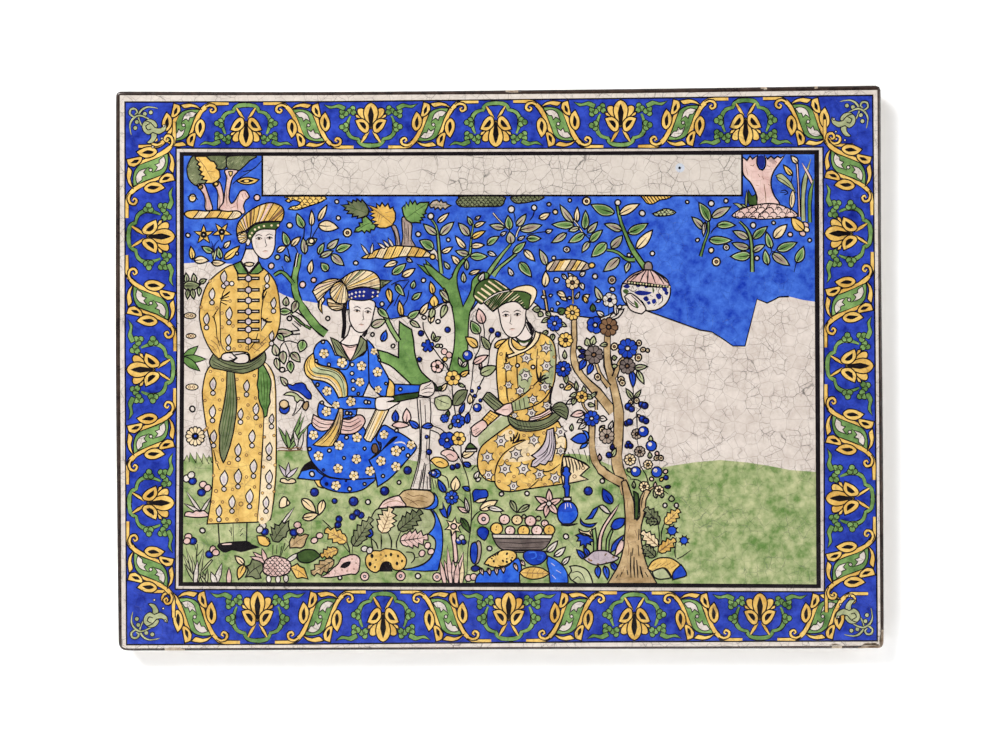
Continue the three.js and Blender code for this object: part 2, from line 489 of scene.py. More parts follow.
skyPlants = {
    "leftSprigs": {
        "twigs": ["303,246 304,234 304.5,226", "309.5,243 311.3,231 311.3,226", "309.5,243 315,232 320,224",
                  "291,262 288,250 285,243", "300,262 297,250 293,245"],
        "leaves": {
            "green": "304,228>297,213.5:8 288,246>283,232:7.5 318.5,254.5>324,243:6 336,251>351.5,245:8 "
                     "328,271>321,263:8 277,259>278,255:4",
            "leafCream": "311.5,226>311.5,210.5:5.5 318.5,221>327,205:6 310,274>312,260:6",
            "cream": "318.5,225.5>338.5,228:11 291.5,246>300.5,237:6.5 277,252>286,246.5:6",
            "leafTaupe": "305,254>303,238:7 306,244>317,239:8 320,257>333,251:6 331.5,254.5>344,265.5:8.5 "
                         "327,248.5>338.5,239:7 289,262>285,255:5",
        },
        "dots": {"cream": "289.6,225.4:2.6 311.5,241:2.4", "white": "336.8,201.7:1.8 338.4,218:1.9 355.8,263:2.1",
                 "pink": "257,197.6:2.8 271.3,266:2.8", "sage": "277.4,257.2:2.2"},
        "rings": {"cream": "347.4,232.7:4"},
    },
    "middleSprigs": {
        "branches": {
            "stem": [("431.5,219.5 436,226 438.3,240 439.5,256 441.5,274", 1.6, 3.2),
                     ("473.5,224 471.5,236 470.5,246 469.5,254 462,262 453,276", 1.2, 3.4),
                     ("511,244 504,252 497,261 490,271 486.5,277", 2, 4.6),
                     ("516.5,253.5 510,259 500,267 493,276", 2, 4.6)],
            "white": [("493,213 498,219 503.5,224.5", 1.2, 1.2), ("520.5,226 517.5,232 516.3,237", 1.2, 1.6)],
        },
        "twigs": ["513.5,212 515,217 514.8,222", "534.5,210 533,216 529.5,220.5", "527,234.5 538,232.6 547,231.4"],
        "leaves": {
            "leafCream": "437.5,222.5>449,213:5.5 441.5,252.5>452.5,247:5.5 459,264.5>451.5,255.5:6.5 "
                         "474,227>485.5,222:5 465.5,248.5>455.5,236:6 539,218.5>550,213:6.5 469,274>480.5,270:4.5",
            "leafTaupe": "437,234.5>423.5,224:7.5 440.5,235>453.8,222:8 469,236>458.5,223:8 505,227.5>489.5,225:6.5 "
                         "469,254.5>455.5,251:6.5 516.5,226>526,214:7 520,230>542,225:8.5 511,244>509.5,231.5:9 "
                         "546.5,265.5>539.5,249.5:7 449.5,269>444,261.5:5",
            "green": "433.5,249>419.5,240.5:10 472,225.5>467.5,216.5:5 487,245>499,236.5:7 470,256>487.5,256.5:8 "
                     "509.5,230>508,215.5:8 526.5,238.5>541,238.5:7 513,253.5>525.8,242:7 519.5,262.5>531.5,277:9",
            "yellow": "471.5,238.5>485.5,231:6",
            "cream": "471,246.5>484.5,245:6 524,250>534.8,261:7",
            "white": "500.5,235.5>506.5,232:4 487.5,252>496.5,255.8:5 517.5,240>525,236:4 475,219.5>480.5,216:3.6 "
                     "513,276>508.5,267.5:5 545.5,232>552.5,229.8:4.6",
        },
        "dots": {"white": "430.8,216.2:2.9 418.3,234.2:2.3 448.3,239.8:1.7 511.3,209.3:3.2 534.2,207.7:2.5 "
                          "549,204.3:1.7 569.8,200.3:1.5 553.8,258:1.7", "cream": "555.3,212:2.2", "yellow": "432.6,256.8:2.4"},
        "rings": {"white": "566.7,249.5:3"},
    },
    "whiteSprig": {
        "branches": {"white": [("572,219 577,224 580.5,229.5 584,234.5", 1.4, 1)]},
        "twigs": ["584,234 590,239.5 590.5,243", "584,234 592,236"],
        "leaves": {
            "leafTaupe": "573,222.5>560,204.5:7 566.5,233>551.5,242.8:7 587.5,233>597.5,222:6.5 589.5,241.5>582,252.5:6 "
                         "579.5,227.5>568.5,231:5.5",
            "leafCream": "577,222.5>577.3,207:5.5",
            "green": "574,225>552,224.5:8 584.5,229.5>585.5,210.5:7.5 590,242>602.5,230:7.5 584.5,233.5>568.5,242.5:8",
        },
        "dots": {"white": "642.2,213.3:2.8 652.4,253.5:2 687.2,202:1.5 697.5,240:1.7"},
        "rings": {"cream": "586.5,201.2:3.8"},
    },
    "leaningTree": {
        "branches": {"green": [("617,204.5 618.5,213 621.5,224 625.5,234 629.5,243.5 634.5,253 640.5,261.5 646,269", 2, 6),
                               ("606.5,250 613,250.8 619,253.2 624,257.5 629.5,259.8 635,259.5", 2, 4)]},
        "leaves": {
            "green": "614.5,213>591,204.5:11 628,233>648,223.5:9.5 606.5,243>591.5,257:10.5",
            "leafCream": "619.5,214.5>639.5,204:8.5 636.5,248.5>652.5,230:9.5",
            "leafTaupe": "622,230.5>604.5,224:7.5 611,247.8>622.5,235.5:8.5 619.5,258>603.5,271.5:9.5 629.5,262>626,273:6",
        },
        "dots": {"white": "617.8,202.6:2.6 629,255:1.6"},
    },
    "rightSprigs": {
        "branches": {"green": [("708.3,220.5 708.3,232 704.5,242.5 700.5,256.5", 2.2, 2.4)],
                     "stem": [("739.5,221.5 746,228 750.5,237.5 752,252 752.3,272", 1.6, 3.4)]},
        "twigs": ["718,226 713.5,229 710.5,234", "731,205 731,205.5", "771,248 771.5,252 768,258", "771.5,251 776,252",
                  "777,249 774,252", "796.5,262 794,272"],
        "leaves": {
            "green": "709.3,221.5>698.8,202.5:9.5 716.8,225.5>735.5,225.3:7.5 709,240>732,240.3:8.5 750.5,255>730.5,256.5:9.5 "
                     "753,238.5>767.5,226.5:8 771.5,248.5>766.5,232:7 777,250>797,242.5:9 768,265>765,249.5:7 "
                     "796.5,262.5>803.5,246.5:9",
            "leafTaupe": "711.8,217.5>730.5,207:8.5 703.5,229.5>691.8,217:7 748.5,239>732.8,231:7.5 749.5,248>732,243:7.5 "
                         "753,251.5>765,245:6.5 772.5,253.5>789.5,265.5:9",
            "leafCream": "773.8,238>787,224.5:9.5",
            "white": "705.2,222>703.5,236.5:4",
        },
        "dots": {"white": "711.3,203.5:2.6 726,200.8:1.9 757,258.2:2 753.2,225.3:2.6 773.6,222.8:1.6 809.7,240.2:1.6",
                 "cream": "711.2,250.3:2.5", "pink": "790.2,234.5:2.2"},
        "rings": {"white": "726.3,247.3:2.8", "cream": "716.3,261.7:4"},
    },
}
broadLeaves = {
    "yellow": ("368,205 377,208 376.5,203.5 380,206.5 382,202.5 385,206.5 388,203.5 390,208.5 393,207 393.8,210 395.5,213 "
               "395.3,220 392,225.5 386,228 380,228 376,226.5 378,224.5 372,224 376,221.5 371,220 374.5,217.5 370,215.5 "
               "374,213.5 369,212 373,210.5", ["369,206 379,213 389,221 393,225", "380,214 378,222", "385,213 392,211"]),
    "darkest": ("341,205 349,204.5 347.5,201 352,203 353,200 356.5,201.5 357,199 361,202 362,199.5 366,204 369,210 368,215 "
                "362,217.5 357,218.5 358,216 352,217 353,214 347,213.5 349,211 344,210 346,208",
                ["343,205.5 355,209 367,213", "352,205 356,209", "351,213 356,209.5"]),
    "lower": ("354.5,232 356,228 360,226 359,223 362.5,222.5 362,218.5 366,216 371,221 376,226 374,230 371,229.5 370,232.5 "
              "366.5,230.5 364.5,233 362,230.5 359,232", ["356,231 365,225 373,222", "362,224 365,226"]),
    "right": ("429,202 427.5,207 425,212 426.5,213.5 423,214.5 425,217.5 421,217.5 423,220 420,220.5 420.5,223 416,222.5 "
              "411,222.8 406.5,220 403.5,215 402,208 404.5,205 405,209 406,202 408.5,206 410,200 412.5,204 415,200.5 417,204.5 "
              "420,202.5 424,202.5", ["428,203 416,211 405,219", "416,211 415,204", "415,212 421,216"]),
    "small": ("429,205 433,201 437,200 439.5,202 441,199.8 443,202.5 446,202 447,204 451.5,205.5 448,207 445,209.5 443,207.5 "
              "440.5,210 438,207.5 435,209.5 434,207 431,208", ["430,205 440,205 450,205.5", "436,205 438,202", "440,205 442,208"]),
}
farGrove = {  # the small trees in the upper left corner
    "crowns": ["193,156 190,160 187,168 188,177 192,183 197,186 203,185 207,181 202,174 199,166 198,156",
               "206,156 227,156 226,167 222,169.5 216,168 211,161",
               "229,156 226.4,161 227,167 231,171 238,171 244,166.5 250,160.5 256,155.8"],
    "yellowLeaf": "195,156.4 206,156.2 211,161 214,161.5 217,166 216,168 219.5,171 220.3,177 218,180.5 213,183.3 205,183.2 207,180.5 "
                  "201.5,179.5 204,176.5 199.5,174.5 202,172 198.5,169.5 200.5,167 197,164.5 199,162 196,159.5",
    "trunks": ["197,185 204,184 207.5,192 210.3,200 212.5,209.5 205.5,209.5 205,199 202.5,192.5",
               "212.5,184 219,181.5 222.5,190 223.5,199 221,209.5 217.5,209.5 218,196 216.5,189",
               "225,170 226.5,178 225,190 223.5,202 220,210 243.5,214 243.5,206 246,200 249.5,197 245.5,190.5 240,191.5 236,199 "
               "231.5,203.5 229,197 230.5,185 233,177 238,170.5"],
    "rope": "184.5,214.5 187,211.3 196,210.2 206,211.2 216,210.2 228,211.5 237,210.8 241.5,213.5 239,217.5 230,219.5 216,218 202,218.5 "
            "190,218.5",
}
rightStump = {
    "body": "742.6,157! 747,160.5! 750,156! 752.5,159! 757.5,155.5! 756.8,163 759.5,169 762.5,170 765.3,166 765.5,159 764.5,155.5! "
            "767.5,159! 771,156.3! 774,158.8! 777.5,156.3! 780.5,158! 784.5,155.5! 779,164 774,171 771.3,179 771.5,188 774.5,196 779,205 "
            "758.5,206 757,197 754,189 750,182 745,177 742.5,171",
    "marks": "750,165 753,166 754.5,164/758,174 760,177/767,165 770,167/764,184 765.5,194 766,203/756,185 759,186/768,184 771,186"
             "/746,168 748,175/762,176 764,180/775,161 777,163",
    "bank": "732,215.5 739,210 747,207 757,204.7 768,203.5 779,204.5 787,207.5 793,210.5 797.5,214.5 795.5,217.6 788,217.5 775,218.8 "
            "760,219.3 747,217.8 738,218.3",
    "reeds": "797,163 798.4,185 799.5,217",
    "pod": "793,190 790,196 789.5,204 791.8,208.5 794.5,203 795,196",
}
clouds = {
    "upperLeft": ("285,196.6 325,196.4 322,201.5 314,204.5 305,207.5 297,210 288.5,209 291,206.5 297,205.5 300.5,202.5 293,200 289,202.5 "
                  "285.5,200.5 289,198.5", 4.2, "yellow"),
    "dark": ("456,202 458.5,198.5 463,196.2 502,196.2 504.5,200.5 502,205.5 495,206.6 478,206.8 465,207 459,206", 3.4, "greyGreen"),
    "darkRight": ("511.5,200 513,196.3 542.5,196 541,199.6 533,201.5 524,203 516,203.3", 3.3, "greyGreen"),
    "small": ("652.5,213.8 658,211.5 664,208.8 671,209.5 675.8,212.5 670,215.3 661,216.2 655,215.8", 3, "sage"),
}


def drawSkyPlants():
    for outline, size, paint in clouds.values():
        scaledBank(outline, size, paint)
    # striped fan under the panel
    fan = curve("640,195.8! 643,198.5 646.5,203.2 651,204.2 655,203 660,200 666,199.2 674,195.8!", True)
    inner = fill("yellow", fan, 1.4)
    clips.append(inner)
    for k in range(9):
        x = 642 + k * 3.4
        stroke([complex(x, 194.5), complex(x + 3.5, 199), complex(x + 8, 205)], 1.1)
    clips.pop()
    # the far grove
    for outline in farGrove["crowns"]:
        loop = curve(outline, closed=True)
        inner = fill("greyGreen", loop, 1.4)
        clips.append(inner)
        for _ in range(int((loop.real.max() - loop.real.min()) * (loop.imag.max() - loop.imag.min()) / 9)):
            spot = complex(chance.uniform(loop.real.min(), loop.real.max()), chance.uniform(loop.imag.min(), loop.imag.max()))
            stroke([spot, spot + 2.6 * direction(chance.uniform(20, 70))], 0.8, (0.5, 0.4), "darkGreen" if chance.random() < 0.65 else "sage")
        clips.pop()
    for outline in farGrove["trunks"]:
        fill("pink", curve(outline, closed=True), 1.4)
    strokes("204,193 206,200 207,207/218,192 220,200 219.5,207/227,186 226.5,198 227,206/239,195 237,203 238,210/"
            "242,194 243.5,199/245,193 247.5,198/231,208 236,206/227,175 228,180", 0.8, "brown")
    dot(200.5 + 187j, 2, "ochre", True)
    dot(216 + 183.8j, 2, "yellow")
    fill("ochre", curve("228.5,171.5! 232.5,171.5! 232,175 230.2,176.5", True), 1.1)
    toothedLeaf("yellow", farGrove["yellowLeaf"], ["198,158 205,167 212,180", "204,165 203,172", "208,171 215,172"])
    ropeBank(farGrove["rope"], 5, ("yellow", "cream", "ochre"), 4)
    stroke("262,160 257,166 251,170 243,171.5", 1.1)
    stroke("255,168 246,174 238,179 233,184", 1)
    fill("yellow", curve("236.5,181! 242,178 249,177.3 255,178.5 259,179.5! 255,183 248,184.5 241,183.5", True), 1.4)
    lay("line", curve("239,181! 244,179.5 249,179 254,180.5! 250,182.5 244,183", True))
    lay("ochre", circle(246.5 + 181j, 2.4, 8, 0.6))
    dot(192.5 + 198j, 3.6, "cream")
    lay("ochre", circle(192.5 + 198j, 2.2, 7, 0.8))
    stroke("187,197 190,196 195,196.5 198,200", 1)
    # star flowers and their leaves
    for centre in (203.7 + 234.7j, 221.8 + 231.8j):
        starFlower(centre, 10, "yellow", 5, 90 if centre.real < 210 else 55, 0.4, "white")
        dot(centre, 1.2, "white")
    strokes("213,258 214,249 211,241/216,258 214,247 219,240/192,262 192,257/218,258 221,249 225,246", 1.4, "navy")
    blades(214 + 260j, (212 + 246j, 216.5 + 248j), 2.4, "sage")
    drawPlant({"leaves": {"ochre": "192.4,259.5>190.8,246.5:6", "green": "213,252>201.8,246.5:6.5 221,259>218.5,247:6",
                          "cream": "224,248>230.5,241:5.5", "yellow": "224,259>239.5,246:7.5"},
               "dots": {"white": "188,235.3:2 237,253.6:1.3"}})
    # the broad leaves with their stumps
    toothedLeaf("greyGreen", *broadLeaves["darkest"])
    toothedLeaf("green", *broadLeaves["lower"])
    for outline in ("391.5,226 395.5,225.5 398.8,234 400,246.5 396.3,246.5 395.5,240 394,233", "402.4,217 408,219 412.2,226 411.2,238 "
                    "415,247 402.3,247 403,236 402,226"):
        fill("taupe", curve(outline, closed=True), 1.4)
    strokes("394,230 397,240 397.5,245/404.5,222 405,232 404.5,244/408,224 408.3,234 408,244/406,228 407,238/410.5,240 412,245", 0.9)
    ropeBank("361.5,258 368,254 376,250 385,247.2 395,245.7 405,246.2 415,246.8 424,249.3 430,253.5 433,256.5 420,257.3 408,256.6 "
             "398,257.2 392,258.6 384,259.2 376,257.8 370,258.6", 9, ("ochre", "yellow", "cream"), 3.4)
    for base, tips in ((368 + 254.5j, (360.8 + 244j,)), (371.3 + 253.5j, (372.8 + 243j,)), (385 + 248j, (377.8 + 243j,)),
                       (389 + 247j, (382.8 + 240j,)), (393 + 246.5j, (388 + 238j,))):
        blades(base, tips, 3, "white")
    toothedLeaf("yellow", *broadLeaves["yellow"])
    toothedLeaf("green", *broadLeaves["right"])
    toothedLeaf("leafTaupe", *broadLeaves["small"])
    fill("white", curve("429.5,253! 434,249 437.5,254 439,263! 434.5,257", True), 1)
    ropeBank("546,268 549,263 556,260 568,259.3 580,260.2 588,263.5 590,267.5 585,270.4 570,271 556,271.2 548,271.3", 8,
             ("cream", "leafTaupe", "yellow"), 4)
    dot(591.8 + 265.4j, 2.8, "yellow")
    # the stump in the upper right corner, with its bank and reeds
    fill("pink", curve(rightStump["body"], closed=True), 1.6)
    lay("navy", curve("758.3,156 757.8,163 760,168 762.5,168.8 764.3,165 764.6,159 763.6,155.8", True))
    strokes(rightStump["marks"], 0.9, "brown")
    fill("darkGreen", curve("749,205! 747.5,197 748.5,190! 752,196 755.5,194! 757,200 757,205!", True), 1)
    blades(746 + 207j, (746.8 + 190j, 741 + 204j), 2.4, "sage")
    fill("sage", curve("743,207! 739,203.5 733,203.3! 737,206 740,208.5", True), 1)
    scaledBank(rightStump["bank"], 6.2, "pink", 1.1)
    strokes("758,205 757,209 751,214 748,217/768,204.5 766,209 759,215 758,218/779,206 777,210/788,209 786,214", 1.3)
    branch(rightStump["reeds"], 1.5, 1.8, "pink")
    leaf(797.5 + 163.5j, 791 + 155.8j, 6, "cream")
    leaf(792.5 + 175.5j, 783.5 + 165j, 5.5, "ochre")
    stroke("792.5,175.5 791,183 791,189", 1.2)
    fill("sage", curve("776,175.5! 781,173.5 787,178 792,184 796,193! 790,188 783,183.5 778,180", True), 1)
    stroke("777,177 784,180.5 790,186", 0.8)
    fill("cream", curve(rightStump["pod"], closed=True), 1.2)
    stroke("792.3,195 791.2,200 791.8,205", 1)
    strokes("781,191 785,190 788,193 784,195/780,192.5 786,192.5", 1.3)
    for path, width, paint in (("811,158.5 807,171 804,186 803,204 803.5,221", 4, "sage"),
                               ("802,163 806,170 809.5,176.5 812.5,184", 2.6, "pink"),
                               ("814,179 811,190 809.5,205 810,222.5", 3.6, "green")):
        line = curve(path)
        lay("line", ribbon(line, width + 1.4, (0.15, 1)))
        lay(paint, ribbon(line, width - 0.8, (0.1, 1)), (line[0], line[-1]))
    for centre, radius, paint in ((805.5 + 225j, 3.6, "pink"), (806.5 + 229.5j, 3.2, "cream"), (802.5 + 233.5j, 3.4, "pink")):
        fill(paint, circle(centre, radius, 9, 0.8, -30), 1.2)
    leaf(803.5 + 230.5j, 791.5 + 217.5j, 10.5, "yellow")
    for plant in skyPlants.values():
        drawPlant(plant)
    # the pointed shoot beside the tree's fork
    fill("green", curve("417,264! 424,266.5 428,269 425.3,259.5! 431,265 437,272! 441,277! 430,276 423,270.5", True), 1.3)
    drawPlant({"leaves": {"leafCream": "397.5,262>384,266.8:6 402,276.5>415,268.5:7", "green": "392,274>406,263.5:8",
                          "white": "406.5,258.5>412.5,262:4"}})


def drawPanel():
    # the long blank panel
    box = "262.3,154 742,154 742,195.6 262.3,195.6"
    fill("panel", np.array(points(box)), 2)
    lay("halo", circle(680 + 167.8j, 4.6, 14))
    lay("halo", circle(679.4 + 167.9j, 3.4, 12))
    lay("line", circle(679.6 + 167.9j, 1.4, 8))
# The picture's ground and its left part
def paintRows(rows):
    # each row is a paint and outlines separated by a slash; a third value makes them brush lines
    for paint, text, *width in rows:
        for path in text.split("/"):
            if width:
                stroke(path.strip(), width[0], (0.6, 0.5), paint)
            else:
                fill(paint, curve(path.strip(), closed=True), 1.4)


def drops(text):
    # small flames with a pearl beneath, "12,30:14" is one of height 14
    for word in text.split():
        centre, _, height = word.partition(":")
        centre, height = points(centre)[0], float(height)
        tip, foot = centre - 0.5j * height + 0.8, centre + 0.5j * height
        side = height * 0.25
        fill("white", curve([tip, tip, centre + side - 0.08j * height, foot + side * 0.6 - 0.16j * height, foot,
                             foot - side * 0.6 - 0.16j * height, centre - side - 0.08j * height], closed=True), 1.2)
        lay("mauve", curve([centre - 0.2j * height, centre + side * 0.45 + 0.1j * height, centre + 0.32j * height,
                            centre - side * 0.45 + 0.1j * height], closed=True))
        fill("white", circle(foot + 2.6j, 2.4, 9), 1.2)
        lay("mauve", circle(foot + 2.8j, 1, 6))


def rings(text, paint="ochre", line="brown"):
    # tiny open rings, "12,30 15,34:2"
    for word in text.split():
        centre, _, radius = word.partition(":")
        centre, radius = points(centre)[0], float(radius or 1.8)
        lay(line, circle(centre, radius, 9))
        lay(paint, circle(centre, radius - 0.9, 7))


def pansy(bright, dark, paint="pink", size=3.8):
    # a blossom of two light lobes and a dark one
    fill("navy", circle(dark, size * 1.1, 9, 0.9), 1.2)
    lay("cobalt", circle(dark - 0.6, size * 0.5, 7))
    for spot in bright:
        fill(paint, circle(spot, size, 9, 0.88, chance.uniform(0, 90)), 1.3)


def eyeMark(centre, half, paint="cream"):
    # an oval pebble with two rings in it
    fill(paint, circle(centre, half, 12, 0.5), 1.2)
    for shift in (-0.35, 0.25):
        rings(f"{centre.real + half * shift},{centre.imag}:1.7", paint)


def face(centre, height, lean=0, towards=1):
    # a calm, plain face: the eyes a third down, the nose two thirds, the mouth below it
    def place(x, y):
        return centre + height * complex(x * towards, y) * direction(lean)

    outline = [place(*p) for p in ((-0.34, -0.46), (-0.36, -0.1), (-0.31, 0.2), (-0.14, 0.44), (0.04, 0.5), (0.2, 0.42),
                                   (0.32, 0.2), (0.36, -0.1), (0.33, -0.46))]
    fill("skin", curve(outline, closed=True), 1.3)
    for x in (-0.13, 0.19):
        brow = [place(x - 0.11, -0.2), place(x, -0.25), place(x + 0.1, -0.2)]
        stroke(curve(brow), 0.9, (0.5, 0.5))
        stroke(curve([place(x - 0.1, -0.12), place(x, -0.165), place(x + 0.1, -0.115)]), 1, (0.6, 0.6))
        stroke(curve([place(x - 0.08, -0.11), place(x, -0.085), place(x + 0.08, -0.11)]), 0.6, (0.5, 0.5), "brown")
        lay("line", circle(place(x, -0.125), height * 0.034, 8))
    stroke(curve([place(0.05, -0.16), place(0.06, 0), place(0.095, 0.1), place(0.04, 0.135)]), 0.8, (0.5, 0.8))
    stroke(curve([place(-0.045, 0.265), place(0.04, 0.25), place(0.12, 0.265)]), 0.9, (0.4, 0.4), "brown")
    lay("pink", curve([place(-0.03, 0.275), place(0.04, 0.262), place(0.11, 0.275), place(0.04, 0.31)], closed=True))


ground = {
    "white": "182,263.5! 233,264 278,292! 294,299 317,303 345,310 373,303! 385,316 391,319 420,313 431,308.5 441,303.5 452,302 "
             "470,312 478,302 500,300 532,301 541,309 560,313 577,316 600,318 613,312 624,305 650,312 700,330 712,332 "
             "733,346! 745,346! 757,299! 767,303 779,297 789,296.5 803,300 817,302! 818,590! 181,588!",
    "grass": "181,461! 210,457 240,452 277,450.5 303,450.5 340,452 380,456 400,458 430,464 470,465 520,462 565,454 590,456 "
             "612,466 640,470 670,466 720,460 770,466 790,470 818,472! 819,590! 180,590!",
    "blades": "184,461 187,455 190,462/189,462 190,452.5 196,463/196,463 196.5,452 203,464/202,463 203,453 209,464/"
              "207,462 209,455 212,463",
}
attendantRows = (
    ("grass", "218,522! 247,522! 246.5,543! 219.5,544!"),
    ("line", "233,523 233.6,543/231,527 231.5,536/243,528 240,532/243,533 240,536/229,530 232,534", 1.2),
    ("line", "219,544 246,541.5 251,544.5 259,547.2! 249,549.5 241,551.5 232,549.5 226,552 221.5,550.5"),
    ("pink", "221,543.6 232,542.6 232.5,545 221.5,545.5"),
    ("ochre", "208.4,368 203,386 202.6,399.5 206,425 211.6,448 213,475 210.5,503 207,524! 240,522.7 257,522.2 270.5,519.7! 273.7,501 "
              "276,475 276.5,444 275.8,391 271.6,370 258,360 225,358"),
)
attendantPanel = "264,366 271,372 274.6,391 275.2,444 274.8,475 272.6,500 269.8,519 258.6,521.3 260.6,480 263.6,417"
attendantFront = (
    ("line", "264,415 262.6,445 260.5,480 259,503 257,522/213.5,450 216,461 219.5,470", 1.5),
    ("greyGreen", "227,368! 233.5,367! 235,380 236.8,401.6 236,415 233.5,432 230,446 225.5,459 223.3,462.6! 220.5,456 219.3,447 "
                  "219.8,436 218.8,430 221,418 224,404 226.5,388"),
    ("darkGreen", "230,371 230.5,385 229,403 226,420 223,436 222.5,450/232.5,373 233.5,395 232.5,414 229.5,432 225,450/"
                  "228.5,385 226.5,405 223.5,420 221.5,434/231,388 230.5,410 227.5,430 224.5,445", 1),
    ("green", "258.4,368! 262.5,363! 267,371 270.5,379 271,386 269.5,396 270.3,402 268,408 266.8,416! 264,417.5! 263,410 261,406 "
              "258.5,398 258.5,391 257,385 258.2,378"),
    ("darkGreen", "263,372 264.5,388 264,404/267,376 267.5,392 266.5,406/261,374 261.5,390 262.5,402", 1),
    ("greyGreen", "209.5,362 212,356 215,352! 226,359 238,363 250,362 260,356 264.5,351! 266,358 262.5,365 255,369.5 243,373.5 "
                  "230,371.5 220,369.5 212,367.5"),
    ("line", "212,360 222,366 236,369.5 250,367 262,359/214,357 224,363 238,366.5 252,364 263,355/213,364 225,369 238,371.5", 0.9),
    ("ochre", "233.7,264.7 220,271.6 207.4,284 201,302 199.5,319 204,337 211.6,351.6 219,359! 222,357 226,352.5 247,352.5 250,361! "
              "264,351.6 274.7,339 280,323 280,307 276.8,286 269.5,273.7 258,266 246,272"),
    ("white", "261.6,318! 266.5,322.5! 261,331!"),
    ("line", "226,287 223,293 220.5,303 220,312 220.5,330 221,344 226,352/219,308 214,316 216,325 217,337 220,346/"
             "263,285 263.5,297 261.5,311 261,320/258,333 255,342 248,351/233.5,266 237,272 239,282", 1.2),
    ("line", "220,299 227,294 230,291.5/221,299 229,296.5/221,300 228,301/220.5,302 227,305/267,288 263,293 262.5,300/"
             "264,298 267,291/262,318 268,322 272,321.5/263,321 268,318/213.5,316 216,313/212,316.5 215,318.5", 1.9),
    ("brown", "208,344 213,347 217,353/211,340 217,345 220,353/214,336 220,342 223,351/257,350 262,346 266,342/254,353 260,348/"
              "252,347 256,350 260,351/255,343 261,343 268,336/213,349 217,356", 0.9),
)
attendantTop = (
    ("green", "233.5,264.5! 240.3,261.5! 248,274! 238.5,273.8!/259.5,262.5! 263,270! 258,273.8! 249.5,274!"),
    ("skin", "246,249! 243,257 241,261! 245,267 248.8,272.8! 254,267 258.5,261.5! 258,254 257,249!"),
    ("cream", "244.5,263.6 249,262.2 254,263.4 253,265.6 249,266.4 245.5,265.6"),
    ("skin", "222,355 226,353 232,353 234,355.5 236.5,357.5 231,360.5 226,361 221.5,359/234,355.5 240,354 245,353.5 248,355 249,360 "
             "246,363 238,363.5 233,361.5 237,358"),
    ("line", "229,357 234,359.5/232,360.5 236.5,364/228,361 231,363", 1),
)
attendant = {
    "drops": "223.7,277:13 212,294:12 206.5,319:12 229,313.5:13 267,278.5:10 273.5,303:11 271.5,336:10 228.4,340:11 213,384:13 "
             "246.5,386:12 212.5,411.5:13 240.5,414:11 256,409:12 271.5,419:10 213.5,436.5:13 252,436.5:13 238,450:13 269,449:13 "
             "253.5,466.5:14 224,478.5:16 238,476.5:15 269,477:14 249.5,496.5:15 232,502:13 266,502.5:12 219,511:12",
    "rings": "222.5,380 237,379.3 254.3,375.7 210.5,371.5 205,400.5 219.5,400 238.5,398.5 248,405 255.5,398 220,409.5 248,418 "
             "207,428 260.5,426 240,433.5 264.5,437 274,435.5 246.5,455 260,453.5 217,462.5 229,463:2.2 263.5,467 275,465 213.5,475.5 "
             "246.5,477 254.5,487 232.5,489.5 216,491:2.2 262.5,493 213,502 222.5,502 241,504:2.6 274,491.5 211,520 227,519 237,520 "
             "256,515 262,519 240,346 234,349 262,344 222,327 233,326 230,301 210,281 201,307 217,308 222,313 247,348 205,430",
    "toggles": "278.5 290 300.5 311.5 321.5 329.5 341",
    "turban": "237,236! 236.5,229 239,221.5 247,213 258,206 270.5,202.6 281,206 284,212 282.6,219.5 280,222.6! 266,222 255,224.5 "
              "246.5,231 243.5,238",
    "band": "246.5,236! 249,230 255,224.8 266,222.3 280,221.5! 279,226 276,229.5! 264,229 256,232 250.5,240.5!",
    "rear": "237,234! 241,232 246,231.5 247.5,236 246.5,241 242,243.5 238.5,241",
}
leftPlants = {
    "branches": {"green": [("299,254 297,266 294.5,278 295,290 299.5,303 308,316 317,327 326,334", 5.5, 8),
                           ("311,329 300,322 291,313", 2.2, 1.6), ("274,275.5 281,271.8 288,277 293.5,284", 2.6, 3.6)],
                 "white": [("293,313 300,317 307,324", 4.6, 4), ("293,322 300,328", 3.4, 3.6), ("291,333 300,332", 3, 3.4),
                           ("298,253 296.5,260 295.5,267", 1.8, 1.6)]},
    "twigs": ["286,304 286,309", "282,266 284,271", "302,345 290,341 283,343 280,349 281,357", "285,343 289,352 289,358",
              "289,358 288,364", "279,371 285,371.5 288,370"],
    "leaves": {
        "leafTaupe": "286,306>286.5,297:6.5 297,301>292.5,313:7.5 276,333>293,333:8.5 277,356>274,344:7.5 283,351>284,364:8 "
                     "291,353>300,362:8 276,358>279,370:6 287,386>280.5,377:6 186.5,283>186,273:5 194,283>193.5,273.5:5.5 "
                     "199,287>199,296:4.5",
        "greyGreen": "183.5,286>200,285:10 199.5,283>206.5,279.5:5 188,289>187.5,299:4.6 192.5,289>194,299:5.2",
        "green": "279.5,311.6>291.5,311.6:7 303,340>300,352:9.5 277,334>284,341:6 290,361>291,373:7.5",
        "cream": "194,260.3>208.8,260.6:7.5 211.5,262.7>225,262.6:6",
    },
    "dots": {"pink": "302.6,284.7:3 313.7,280:2.4", "white": "289.5,318.4:2 282.3,369.8:2.3 192.4,409:2.6 202.5,530.5:2.4"},
}


def drawGround():
    lay("ground", curve(ground["white"], closed=True, step=8))
    stroke(curve(ground["white"], step=8)[8:-4], 1.4, (1, 1))
    lay("grass", curve(ground["grass"], closed=True, step=8))
    for path in ground["blades"].split("/"):
        start, tip, end = points(path)
        lay("grass", np.array([start, tip, end]))
        stroke([start, tip, end], 1.2)


